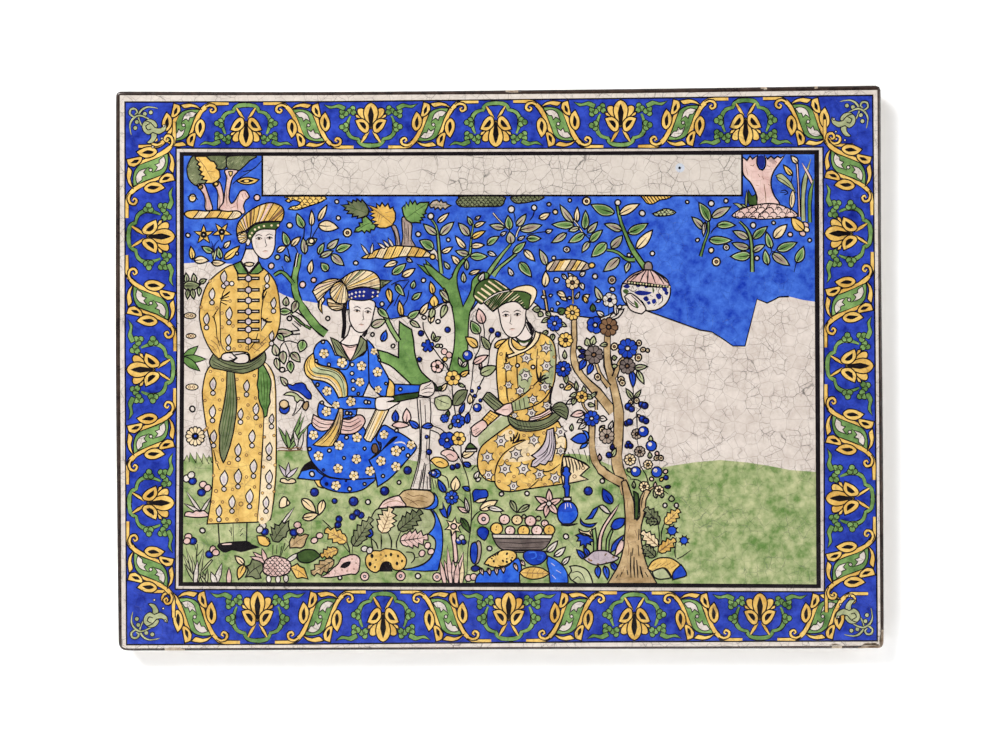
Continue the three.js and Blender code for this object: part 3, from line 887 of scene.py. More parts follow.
def drawTurban(outline, focus, count, paints, spread=(-100, 100)):
    # wound cloth: stripes that run from one place under the outline
    loop = curve(outline, closed=True)
    inside = fill(paints[0], loop, 1.5)
    clips.append(inside)
    for k in range(count):
        turn = spread[0] + (spread[1] - spread[0]) * k / (count - 1)
        heading = direction(turn)
        wide = direction(turn + (spread[1] - spread[0]) / count * 0.5)
        lay(paints[k % len(paints)], np.array([focus, focus + heading * 60, focus + wide * 60]))
        stroke([focus + heading * 2, focus + heading * 26 + 2j * heading, focus + heading * 60], 0.9, (0.8, 1))
    clips.pop()


def drawAttendant():
    paintRows(attendantRows)
    lay("cream", curve(attendantPanel, closed=True))
    paintRows(attendantFront)
    drops(attendant["drops"])
    rings(attendant["rings"])
    fill("mauve", circle(226.6 + 283.4j, 2.6, 8), 1.1)
    fill("white", circle(231.8 + 283.6j, 2.4, 8), 1.1)
    # toggles across the front
    stroke("248.5,272 248.5,300 248.3,350", 1.1)
    for word in attendant["toggles"].split():
        y = float(word)
        fill("white", np.array(points(f"238,{y - 1.1} 259,{y - 1.3} 259,{y + 1} 238,{y + 1.2}")), 1.6)
        fill("mauve", circle(248.4 + 1j * y, 3.3, 10), 1.4)
    paintRows(attendantTop)
    face(263.5 + 242.5j, 33, 3, 1)
    fill(*("skin", curve("246.5,234! 250.5,236.5 250.5,242 248,246 245.5,242", closed=True)), 1.2)
    drawTurban(attendant["turban"], 250 + 240j, 15, ("ochre", "pink", "cream", "ochre", "brown"), (5, 130))
    fill("darkGreen", curve(attendant["band"], closed=True), 1.4)
    for spot in curve("250,236 255,229.5 264,226 278,225.4", step=4)[::1]:
        lay("cream", circle(spot, 1.2, 6))
    drawTurban(attendant["rear"], 250 + 236j, 6, ("cream", "ochre"), (150, 220))
    strokes("237.5,236 246.5,230 255,223.6 266,221.2 280,221/246.3,243 245.5,249 243,256", 1.5)


def drawLeftPart():
    drawPlant(leftPlants)
    eyeMark(190 + 315.7j, 6)
    eyeMark(192 + 387j, 6.2)
    eyeMark(191 + 336j, 5)
    rings("289.5,318.4:2.4 230.5,292:1.6", "white", "line")
    for base, tips, width, paint in (
        (184 + 358.5j, (198 + 346j, 206 + 359.2j, 200 + 371j), 7.5, "green"),
        (287.5 + 477j, (279 + 465j, 288.6 + 462.5j, 298 + 467.5j), 4.2, "mauve"),
        (201 + 513j, (186 + 491j, 211 + 497j, 184 + 503.5j), 3.4, "white"),
        (290 + 449j, (278.5 + 427j, 302 + 411j, 304.5 + 415.5j, 286 + 430j, 309 + 424j), 4, "stem"),
        (299 + 449j, (293.5 + 430j, 303 + 432j), 4.4, "white"),
        (197 + 584j, (182.6 + 553j, 186 + 548j, 184.5 + 564j, 204 + 549j, 192 + 556j), 3.6, "sage"),
        (195 + 585j, (197.6 + 560j,), 4.6, "white"), (215.5 + 584j, (222 + 563j, 211 + 572j), 5.6, "white"),
        (206 + 584j, (203 + 572j, 207.5 + 569j, 200 + 575j), 3, "sage"), (229 + 584j, (229 + 567.5j,), 5, "pink"),
        (212 + 560j, (199 + 575j,), 2.4, "sage"), (282 + 524j, (294.5 + 507j,), 3, "white"),
        (266 + 562j, (253 + 552j, 250 + 556.5j, 262 + 548.5j), 4.6, "pink"), (286 + 562j, (302 + 551.5j,), 4.6, "white"),
    ):
        blades(base, tips, width, paint)
    petals(195.3 + 436.3j, 9.6, 12, "cream", None, 90, 0.86)
    lay("line", circle(195.3 + 436.3j, 3.9, 10))
    lay("cobalt", circle(195.3 + 436.1j, 1.3, 6))
    strokes("197.5,544 196.5,556 196.3,562/193,540 196,550/197,556 203,549", 1.3)
    for bright, dark, paint in (
        ((186.5 + 478.5j, 191.3 + 475j), 192.5 + 481j, "white"), ((203 + 484.5j, 207.5 + 488j), 201.5 + 492.5j, "pink"),
        ((188.3 + 536.7j, 187 + 541j), 192.7 + 541j, "pink"), ((213 + 549.5j, 215.8 + 552.6j), 209.5 + 554.3j, "pink"),
        ((262.7 + 526j, 259.8 + 529.5j), 264.6 + 531.6j, "white"), ((297.5 + 525j, 300 + 530.8j), 293.8 + 532.5j, "pink"),
    ):
        pansy(bright, dark, paint)
    paintRows((
        ("pink", "184.5,516! 185,513 189,511.5 193,512.5 196,510.5 200,511.5 203.5,510.5 207,513 209,516 200,517.5 190,517"),
        ("mauve", "188,515 192,513.5 195,515/199,514 203,513 205,515", 0.9),
        ("cream", "280,481.5 281,478.8 285,478.5 288,480.5 291,478.7 295,479.5 296,482 292,483.5 285,483.3"),
        ("cobalt", "287,384 290,384.5 293,385.5 295.5,383.5 299,383 302,382.8 305.5,385 307,389 309.5,391.5 311.5,395.5 311,399 "
                   "307,398.5 303,395 298,391.5 293,390.5 289,388.5"),
        ("sage", "283.5,395! 287,392.5 292,392 297,394 300,397 303,399 304.5,401.5! 300,400 297.5,402.5 295,400.5 294,396.5 289,395.5"),
        ("line", "296.5,402 295.5,410 292,416/304,401 300,409 293,416", 1.2),
        ("trunk", "279.8,406 280,402 284,399.8 288,402 288.3,406 284,408.5"),
        ("cobalt", "279.3,410 279.8,407 284,409.5 289.6,406! 289,411 285,414 281,412.5"),
        ("trunk", "302.5,407.5 304.5,402.5 308,401.5 308.5,406 306,410.5"),
        ("brown", "277,448.5 283,447.5 290,449 297,447.5 303,448.6/278,450.3 290,450.8 303,450", 1.4),
        ("cream", "279.5,507.5 280.3,500 284,496.6 287.5,499 288,503 285,507/287,500 290,503 287,506"),
        ("greyGreen", "273,541! 270,534! 272.5,535! 271,527! 274.5,529 274.8,524! 279,525.5 282,521! 284,523.5 289,520.5! 288.5,526 "
                      "290,530! 287,532 286,537! 283,537.5 279,542"),
        ("line", "274,540 280,531 287,522/277,536 275,531/281,530 279,526/278,536 283,535", 0.9),
        ("trunk", "290,548! 289.5,542 292,537! 294,538.5 297,534.5! 300,536 305,534! 308.5,535! 306,540 304.5,545 301,548 296,547.5"),
        ("brown", "291,547 298,541 306,536/296,543 300,545/294,544 295,538", 0.9),
        ("yellow", "257,536! 262,535.8 268,538 270,542 268,546 262,545.5 258.5,542.5"),
        ("greyGreen", "245.5,577! 248,570 246.5,566! 250,564.5 252,559.5! 257,560.5 262,563 263,570 260,574 261,578! 256,579 252,576.5"),
        ("line", "247,576 253,570 261,565/250,573 248,568/254,569 254,563/256,568 259,574", 1),
        ("yellow", "290,567! 294,565.5 297.5,563.5! 300,566.5 304,568! 305.5,572 308,579! 302,577.5 297,578.5 294,574"),
        ("brown", "291,568 299,571 306,577/296,570 297,565/299,571 298,577", 0.9),
        ("darkGreen", "297,556 301,551 307,549.5 312,552 311,559 304,562 298,560"),
    ))
    scaledBank("263,570 265,561 270,557.5 275,555.8 281,557 287,559.5 290.8,564 290,571 286,574.5 278,576.5 270,576.3 265,574",
               3.6, "pink", 0.9)
    for spot in (268.7 + 579j, 278 + 579.5j, 286 + 578.5j):
        fill("white", circle(spot, 2.6, 8, 1.5), 1.2)
    strokes("273,545 272.7,555/277,545 276.5,554/282,546 280,556/285,543 281,556/289,545 284,551/266,538 271,544", 1.5)
    leaf(244 + 564.5j, 235 + 556j, 6.5, "cream")
    leaf(244.5 + 565j, 238.5 + 579.5j, 8, "ochre")


def blossoms(text, paint="cream", core="ochre"):
    # little flowers sewn on a dress, "12,30:5" has a radius of 5
    for word in text.split():
        centre, _, radius = word.partition(":")
        centre, radius, turn = points(centre)[0], float(radius or 5), chance.uniform(0, 72)
        lay("line", circle(centre, radius * 1.02, 12))
        for k in range(5):
            lay(paint, circle(centre + radius * 0.62 * direction(turn + 72 * k), radius * 0.36, 7))
        lay(core, circle(centre, radius * 0.25, 6))


def serrated(base, tip, width, paint, teeth=4, rib="line"):
    # a broad leaf with saw teeth and a rib
    run = tip - base
    half = width / 2 / abs(run)
    sides = []
    for side in (1, -1):
        row = []
        for k in range(teeth):
            x = (k + 0.45) / (teeth + 0.2)
            swell = half * math.sin(math.pi * min(1, 0.12 + x * 0.95)) ** 0.7
            row += [base + run * complex(x - 0.02, swell * 0.72 * side), base + run * complex(x + 0.13, swell * 1.12 * side)]
        sides.append(row)
    fill(paint, np.array([base] + sides[0] + [tip] + sides[1][::-1]), 1.3)
    stroke([base, base + run * 0.5 + 0.4, base + run * 0.88], 1, (1, 0.3), rib)
    for k in range(1, teeth):
        x = k / teeth * 0.75
        for side in (1, -1):
            stroke([base + run * x, base + run * complex(x + 0.16, half * 0.6 * side)], 0.8, (0.9, 0.3), rib)


def pearls(text, paint="navy", radius=4):
    # dark berries with a light spot
    for word in text.split():
        centre, _, size = word.partition(":")
        centre, size = points(centre)[0], float(size or radius)
        fill(paint, circle(centre, size, 10), 1.4)
        lay("cobalt" if paint == "navy" else "white", circle(centre - size * (0.25 + 0.3j), size * 0.4, 6))


def ringFlowers(text, paint="pink"):
    for word in text.split():
        centre, _, radius = word.partition(":")
        centre, radius = points(centre)[0], float(radius or 4.2)
        fill(paint, circle(centre, radius, 11), 1.3)
        lay("line", circle(centre, radius * 0.42, 8))
        lay("mauve", circle(centre, radius * 0.2, 6))


youthRobe = (
    # the train, the skirt and the two sleeves
    ("robeBlue", "311,461.5! 306,465 301,472 297.5,478.5! 304,479 312,480 324,480 334,478! 322,468"),
    ("line", "311,461.5! 305,465 300.5,471.5! 306,470 312,468.5 318,470!"),
    ("ochre", "314,480! 318,486.5! 323,488! 322.5,480!"),
    ("robeBlue", "322,478 321,485 328,489.5 340,492.4 351,492.6 362,490 370,484.5 375.5,478 366,468 340,468"),
    ("robeBlue", "310,424 307.5,433 307,446 309.5,457 315,465.5 322,472.5 331,477.3 348,479.4 362,479 375.5,478! 374.5,469 "
                 "369.5,460! 378,452 388,443 397,437 384,426 372,440 364,428 352,414 330,416"),
    ("robeBlue", "383,425.5 392,429 400,433 408,438 414,443 416.5,447.5 413,453.5 405,462.5 397,471.5 388,480 377.6,486.8! 376,478 "
                 "373.5,469.5 369,460! 379,453 381,444 376,439"),
    ("line", "381,451 387,443 393,437 398,436.4 394,441 387,446.5", None),
    ("white", "393.5,443.3 399,441.3 404.5,442.4 406,445 402,442.9 397,443.3", None),
    ("brown", "371.5,449 373,444 376,443.8 378.2,449.5 376.5,453.5 373.5,453"),
    ("line", "369,460 376,455.5 384,448.5/376.5,440 379.5,446 380.5,450/310,461 318,471.5 330,478 348,479.5", 1.4),
    ("robeBlue", "320,402 327,407 340,408 357,409.5! 356,416.5! 343,418.5 335,420.5 321,418.5 317.5,412"),
    ("robeBlue", "350,361.5! 356,357.5 363,355 366.2,350 369,342! 369,382! 363,396! 346,397.5 346,380 340,371 336,367! 337,357 344,358"),
    ("robeBlue", "322,340! 327,340.5 331.5,346.5 335,355! 344,357 350,361.5! 347,369 337,368.5 328,366.8 319,364 314.3,358 313.6,351 "
                 "316.5,344.5"),
    ("robeBlue", "367,339.5! 372,344.5 376,351.5 379,361 385,371.5 389,379.5 388.5,386 386.5,396! 381,396 374,389.5 369,380.5 368.6,355"),
    ("ochre", "389,378.5! 393,382.5 395,388 394,396 386,396.5! 386.8,390 388.5,384"),
    ("robeBlue", "394.8,384! 405,384.6 420.5,385! 418.8,392 405,393.6 394.4,395.5!"),
    ("robeBlue", "311.5,380! 320,380.6 328,383.5 334.5,389.5 338.5,398! 346,396.3 357,396.4 368,397.3 376,398.4! 376.3,408.8! 360,408.2 "
                 "346,409.5 336,407.5 328,402.5 321,394 315,386"),
    ("darkGreen", "394,395.8! 406,393.8 418.6,392.2! 418.4,397.2 406,399.8 395,402.4 385.5,403.3! 388,400.5"),
)
youthCloth = (
    ("yellow", "313.5,353! 308,357.5 304.6,364 304.6,371 307.5,376.5 313,379.8 321,380.8 328,383 334,389 338.5,397.8! 347.3,396.5! "
               "347.6,387 344.5,377.5 338.5,370.5 330,367.3 320,365.2 315.5,361.5"),
    ("sage", "322,367 330,368.5 337.5,371.8 343,378.5 345.8,387 346,396.4! 343,396.8! 341.5,388 337,381 330,376.5 321,375 314,374 "
             "312.5,368", None),
    ("cream", "320,376.5 329,378 335.5,383 339.5,390 341,396.6! 339,397! 336,390 330.5,383.8 322,380 314,378.6 311,375.5", None),
    ("line", "311.5,356 309,363 311,370 318,373.5 328,374.5 336,379.5 341,388 342.5,396/308.5,359 306.8,366 309.5,373 316,377 "
             "327,378.5 334,384 338,391/314.5,360 315.5,366 321,369.5 330,371 338,375 343,383.5 344.5,396/320,366.6 330,369 "
             "339,373 345,382", 0.9),
    ("pink", "313.5,414.5! 318,417 325,419.8 336.5,420.3! 335,424.5 329,429.5 322,431.2 316,429 311.8,423.5"),
    ("pink", "341,418.5! 350,419.3 357,415 362.5,415.8 365.3,421 362,427.5 356.5,432.3 349.5,434.3 340.5,434!"),
    ("line", "313,418 319,422.5 327,424.5 335,423.6/312.5,422 319,427 328,428/316,415.5 322,420/342,421 350,422.5 359,418/"
             "341.5,425 351,426.5 361,420.5/341.5,429.5 351,430.5 362,424/343,417.5 346,413.5 349,417/350,418 353,414 356,416", 0.9),
    ("trunk", "339,408.8! 343,409 342.6,420 340.5,431 337,439.5 332.8,446! 322,446.6 313,444.8! 321,438 329,429.5 334.5,420.5"),
    ("ochre", "337,425 336,434 332,445 323,445.6 315,444.3 323,438 330,431", None),
    ("line", "340,412 337,424 330,436 321,444.5/341,414 339.5,427 334,439 329,446/339,411 333,426 325,437 317,443.5/"
             "341.5,420 338,434 332.5,445", 0.9),
    ("cream", "376,409! 389,409.6! 384.5,419 379.5,428.5 374.5,437 371,442! 366.5,441 363.5,437.5! 367,428 371.5,418.5"),
    ("line", "379,410 372,425 366,439/382,410 376,424 368.5,440.5/385.5,410 379.5,424 371,441/388,411 382,423/377,410 369.5,426 "
             "364.5,437", 0.8),
    ("ochre", "381,411 384,411 377.5,424 372,434", None),
)
youthHead = (
    ("skin", "350,326! 347.5,335 340.5,342! 344,347.5! 358,348! 360.5,338 366.5,330!"),
    ("pink", "340.8,343.5! 349,345.8 357.4,344.4! 354.5,354 350.2,361! 345.5,353"),
    ("greyGreen", "330.5,337.5! 338,341 342,346.5 346,354.5 350,361.5! 344,357.5 337,354.5 333.5,346"),
    ("greyGreen", "360.5,336! 366.3,341! 366.5,350.5! 358.5,356.5 351,361.5! 355,352.5 358,345.5"),
    ("line", "334,342 339,349 346,358/364,341 360,350 353,359/337,342.5 342,350 348,359/343,344.5 349.5,347.5 356,346", 0.9),
    ("line", "343,301 341.5,312 342.5,324 341,338 344,339 346.5,326 346,314 347.5,302", None),
    ("line", "368,329 367,334 364,337.5 363,336 365.5,332", None),
    ("skin", "375.7,398.8 382,396.8 393.5,397.3 395,399.8 387,402 399.8,402 395,405.3 388.5,409.3 383,410.3 376,408.8"),
    ("skin", "420.3,385.3 426,382.8 432,380.8! 434.8,387 433.5,393.5 428,396.8 418.6,395!"),
    ("line", "421,390.5 427,388 433,388.6/422,393.5 428,392 433,392.5/424,387.5 429,385 432,382", 0.9),
)
youthTurban = {
    "roll": "341,279.5! 347,275 355,271 364,270 373,272 378.5,277 380.3,283 380,290.5! 366,287 356,287.8 347.5,291! 343,283",
    "fan": "312.5,291.5! 316,286 323,281.5 332,278.6 341.5,279.5! 335,284 328,290.5 322.5,297 318,302! 315.5,297",
    "side": "334.5,283.5! 340,281.5 344.5,284 347.5,292 347.5,301 343,303.8 336.5,302.6 331.5,298 330,291",
    "lower": "327,299! 331,298.5 336,302.8 344,303.4 346.3,306 341.5,309.8 334,310.4 328.4,306",
    "tail": "380,280! 391.5,280.6! 386,284.5 380.8,288.5!",
    "hanging": "322,296! 325,299.5 321.5,305 322.5,313.5! 318.6,308 318.6,302",
    "band": "347,291! 356,288.5 366,287.4 375,288.4 380.3,290! 377,295.5 370,299.3 362,300.6 352,299.6 347.8,298!",
}
youth = {
    "blossoms": "324,353.5 342,362.6:5.4 361.5,366 377.5,372 360,382:4.6 327,391 326.5,411.5 351,401.6 336,405:4 374,351.4:3.6 "
                "378,389.4:3.8 313.5,435 339,445.5 357,437.5 318.5,456 356.5,459 338,468.6 370,471 354,475.6 336,485.6 384,434.6:4.6 "
                "411,444.8:4.6 396,451:5.6 381,461 396,466.6",
    "dots": "323,342:1.4 316.3,361:1.2 329,364.6:1.4 317.5,384.6:1.4 322,402.6:1.3 386,383.6:1 358.3,393.8:1 379.3,360:1 "
            "309.6,449:1.4 329.4,450.6:1.6 364.6,448.6:1.3 344,458:1.2 349.6,489:1.8 364.6,484:1.2 346.5,437.4:1.6 396.5,430.4:1.6 "
            "408,455.4:1.5 383,476:1.3 403,448.6:1.4 312,474:2.4 347,413:1.5 350.5,413.5:1.2 400.3,389.3:1.4 366,402:1.7 369,402.4:1.4",
    "rings": "323.5,470:1.9 326.5,484:2 380,443.6:1.8 346,481:1.3",
    "buttons": "352.2,364.6 352,373.4 353,380.8 353.2,389.2",
}
middleTree = {
    "trunk": "399.5,321.5! 404,325 411.5,329.5! 413.6,340 414.6,352 417.5,363 422,372.5 432,381.5! 427,383.5 421.3,385.5! 412,385.4! "
             "406,379.5 398,372 390,365.5 380,361.5! 378,350! 388,352.8 398.6,357.6! 398.6,340",
    "lower": "417,397! 430,398! 431,412 430,432 429,450 430.5,470 431,490! 410.5,489! 414,478 417.5,465 419.5,450 420,430 418,410",
    "lowerMarks": "420,400 421.5,425 421,450 418,470 413,487/425,405 426,430/427,440 426,458/424.5,463 422,478 419.5,489/"
                  "426,464 424,478 423,489/422,470 418.5,489/429,470 430,488/427,476 427.5,489/432,478 434,489/435,480 437,488",
}
middlePlants = {
    "branches": {"stem": [("385,316 392,330 399,341", 3.6, 4.4)]},
    "twigs": ["423,322 423.5,329 428,338 434,349 441,359 449,372", "391,285 399,281 409,280", "409,281 404,288 398,297 394,306",
              "394,300 389,306 385,312", "409,290 407,300 402,308 399,316", "399,316 404,315.5 409,318"],
    "leaves": {
        "green": "396,284>404.5,296:6.5 412.3,288.6>414.2,280.6:5.5 378,308>389,318.5:7 412,299.5>421.5,292.5:6 408,318>419.5,310.5:7",
        "ochre": "388,288.5>390.6,303.5:6.5 433,294.4>430.4,281.6:6 402,316.5>399.4,300.5:6",
        "yellow": "434.5,307>434.5,295:9",
        "leafTaupe": "371.5,326.5>386,320:8 410,321>420,327.4:5.5",
        "leafCream": "420.5,314.6>428.3,302.6:6.5 430.4,323.4>433.2,308.6:6.5 302,499>316,512.5:9 323.5,500>319,515:7.5 302.5,518>318.5,514:8",
        "robeBlue": "382,341.5>386,330.4:6.5",
        "pink": "406,423>406.6,408.6:8.5 480,369.6>481,362:3",
        "cobalt": "395.6,422.4>395.6,410.4:7 418.6,428>409,420.6:6.5 433,425.6>421.5,427:6",
    },
    "dots": {"white": "423.5,280.3:2 382,304:2 393,346:1.7 424,317.5:1.8 438,321.5:1.8 372.5,334.5:1.6 327.8,318.5:1.8 368,502:2.2 "
                      "399,482.4:1.6 418,576:2.4 340,577.8:1.6"},
}


def drawYouth():
    for paint, text, *width in youthRobe + youthCloth:
        for path in text.split("/"):
            loop = curve(path.strip(), closed=not (width and width[0]))
            if width and width[0] is None:
                lay(paint, loop)
            elif width:
                stroke(loop, width[0], (0.6, 0.5), paint)
            else:
                fill(paint, loop, 1.5)
    blossoms(youth["blossoms"])
    spots(youth["dots"], "white")
    rings(youth["rings"], "navy", "line")
    for paint, text, *width in youthHead:
        for path in text.split("/"):
            loop = curve(path.strip(), closed=not (width and width[0]))
            if width and width[0] is None:
                lay(paint, loop)
            elif width:
                stroke(loop, width[0], (0.6, 0.5), paint)
            else:
                fill(paint, loop, 1.4)
    for word in youth["buttons"].split():
        fill("white", circle(points(word)[0], 2, 9), 1.3)
    face(361 + 315.5j, 34, -6, 1)
    fill("navy", curve(youthTurban["band"], closed=True), 1.3)
    for spot in curve("349,295 356,292.6 364,291.8 373,292.6 378,292", step=4):
        lay("white", circle(spot, 1.3, 4))
        lay("cream", circle(spot - 0.5 + 4j, 1.1, 4))
    for name, focus, count, spread, paints in (
        ("hanging", 320 + 296j, 3, (-110, -70), ("cream", "ochre")), ("tail", 380 + 284j, 3, (-20, 30), ("greyGreen", "sage")),
        ("fan", 345 + 278j, 9, (175, 235), ("cream", "trunk", "ochre", "pink")),
        ("roll", 341 + 290j, 12, (-10, 100), ("cream", "greyGreen", "trunk", "ochre")),
        ("lower", 347 + 306j, 6, (150, 210), ("trunk", "cream")), ("side", 345 + 280j, 9, (190, 290), ("cream", "ochre", "trunk")),
    ):
        drawTurban(youthTurban[name], focus, count, paints, spread)


def drawMiddlePart():
    fill("green", curve(middleTree["trunk"], closed=True), 1.6)
    fill("ground", curve(middleTree["lower"], closed=True), 1.2)
    strokes(middleTree["lowerMarks"], 1.5)
    drawPlant(middlePlants)
    petals(427.8 + 346j, 6.2, 5, "cobalt", None, 90, 0.6)
    petals(437.3 + 366.5j, 6.5, 5, "pink", "brown", 90, 0.6, 0.22)
    pearls("419.5,359.5:2.4 421,333.3:2.8 407.6,470.4:4 314.5,492.2:4.2 334.6,501:2.6 353.6,501.4:4.6 384.6,491:4.4")
    pearls("429,452:2.8 426.8,437:1.8")
    paintRows((
        ("pink", "392,425.5 398,421.8 405,423 409,425.5 400,428"),
        ("sage", "370,522! 373,514 379,508.5 400,507.5 425,507 434,516 435,527 429,533.5 436.5,541 433.5,553 424,563.5 405,569 380,566 372,545"),
        ("trunk", "378,509! 383,501.5 391,497.3 399,495.3 403,491.3 410,489.5 420,490 430,491 434.2,496 433.2,502.5 427,507.4 417,508.4 "
                  "410,507 400,506 390,507.6"),
        ("pink", "378.5,508.5! 383,501.8 391,497.6 399,495.7 402,500 406,506 396,506.4 388,507.8"),
        ("robeBlue", "434,492.5! 437.5,498 437.5,505.5 432,509.5 423,509! 431,505.5 434.5,500"),
        ("robeBlue", "431,508.5! 436,513.5 440,522.5 442.3,531 442.7,545 441.2,557 438,570.5! 425,571.3 403.5,570! 413,567.8 423,564.6 "
                     "431,557.8 435,549 435.6,541.5 433,536.6 428,534.2! 433,528.6 435.2,521.5 434,514.5"),
        ("brown", "383,505 390,501.5 398,501 403,503.5/389,500 395,498.6/407,493 413,496.5 420,495 428,498/410,503 418,500.5 427,502.5/"
                  "404,497 412,501 418,506", 0.9),
        ("ochre", "365.5,562 366,557 370,552.3 375,550.5 380,551 385,548.6 392,549.5 398,550.5 403,554 406.5,559.5 405,566.5 400,570.3 "
                  "393,569.3 390.5,563.5 386,561.8 382,564 380,569.6 376,572.6 371,571 367,567"),
        ("line", "379.8,571! 381,566 385.5,562 389.5,565 391.8,571!"),
        ("pink", "321,577! 328,573 333,568 338,564 341,558.5 346,556.6 350,554.8 356,555 359.8,558.5 359.8,565 358.5,571.5 355,574.5 351,574 "
                 "340,576 330,577.5"),
        ("line", "341,567 344,563.4 350,562 348.6,565.4 344.5,567.6"),
        ("darkGreen", "297,553.5! 303,550.4 308,549.4 315,550.5 320.5,556! 314,560.5 307,563 299,561"),
        ("cobalt", "366.8,536 365.6,531 367.5,526.5! 372,530 373,535 370.5,537.5"),
        ("line", "378,549 376,543 372,539/381,549 381.5,541 381,534/391,549 391.5,541 388,532/397,549 396.5,542 401,531/346.5,541 349,548 "
                 "350,555/343,545 349,552/352.5,546 352,556/322.5,520 328,525 334,531/406,552 413,553 414.5,559 411,563/414,558 419,557", 1.5),
    ))
    for word in "372,556 376,560 381,555 386,556 391,554.5 398,556 402,561 397,563.5 370,564 375,567".split():
        lay("line", circle(points(word)[0], chance.uniform(0.7, 1.8), 6, 1.4))
    for word in "335,571 342,570 352,559 356,563 354,569 347,571 329,574".split():
        lay("brown", circle(points(word)[0], 0.8, 5))
    for base, tip, width, paint, teeth in (
        (382 + 533j, 391 + 507.5j, 18, "cream", 5), (398.5 + 530j, 421.5 + 511j, 16, "greyGreen", 5),
        (400 + 541j, 428 + 537j, 17, "pink", 5), (353 + 546j, 371.5 + 518j, 15, "greyGreen", 5),
        (347 + 542j, 325 + 529.5j, 14, "ochre", 4), (338 + 549.5j, 320.5 + 556j, 11, "ochre", 4),
        (334 + 560j, 311.5 + 574j, 13, "trunk", 4),
    ):
        serrated(base, tip, width, paint, teeth, "brown" if paint in ("cream", "ochre") else "line")
    for spot in (352.5 + 516.8j, 361 + 515.2j, 357 + 512.8j, 338 + 524.8j, 339 + 519j):
        fill("navy", circle(spot, 3.3, 9), 1.2)
        lay("cobalt", circle(spot - 0.8, 1.2, 6))
    for bright, dark, paint in (
        ((314.3 + 540.4j, 319.6 + 535.6j), None, "pink"), ((364.6 + 548.8j, 369.6 + 550.4j), None, "white"),
        ((422 + 553.4j, 427.6 + 545.6j, 431 + 551.6j), None, "pink"),
    ):
        for spot in bright:
            fill(paint, circle(spot, 3.6, 9, 0.85, chance.uniform(0, 90)), 1.3)
    ringFlowers("364.7,576.4:4.3 400.6,576:4.8 437,577:4.4")


def paintLayers(rows):
    # rows as for paintRows, where a width of None lays a patch without an outline
    for paint, text, *width in rows:
        for path in text.split("/"):
            loop = curve(path.strip(), closed=not (width and width[0]))
            if width and width[0] is None:
                lay(paint, loop)
            elif width:
                stroke(loop, width[0], (0.6, 0.5), paint)
            else:
                fill(paint, loop, 1.5)


def stars(text, paint="white"):
    for word in text.split():
        centre, _, radius = word.partition(":")
        centre, radius = points(centre)[0], float(radius or 6)
        starFlower(centre, radius * 1.1, paint, 6, chance.uniform(0, 60), 0.6, line=1)
        lay("line", circle(centre, radius * 0.32, 8))
        lay("mauve", circle(centre, radius * 0.18, 6))


def rock(outline, paint, holes, hole="line"):
    # a lump of stone with holes in it
    loop = curve(outline, closed=True)
    inside = fill(paint, loop, 1.5)
    clips.append(inside)
    for _ in range(holes):
        spot = complex(chance.uniform(loop.real.min(), loop.real.max()), chance.uniform(loop.imag.min(), loop.imag.max()))
        lay(hole, circle(spot, chance.uniform(0.5, 1.3), 6, 1.3, chance.uniform(0, 180)))
    clips.pop()


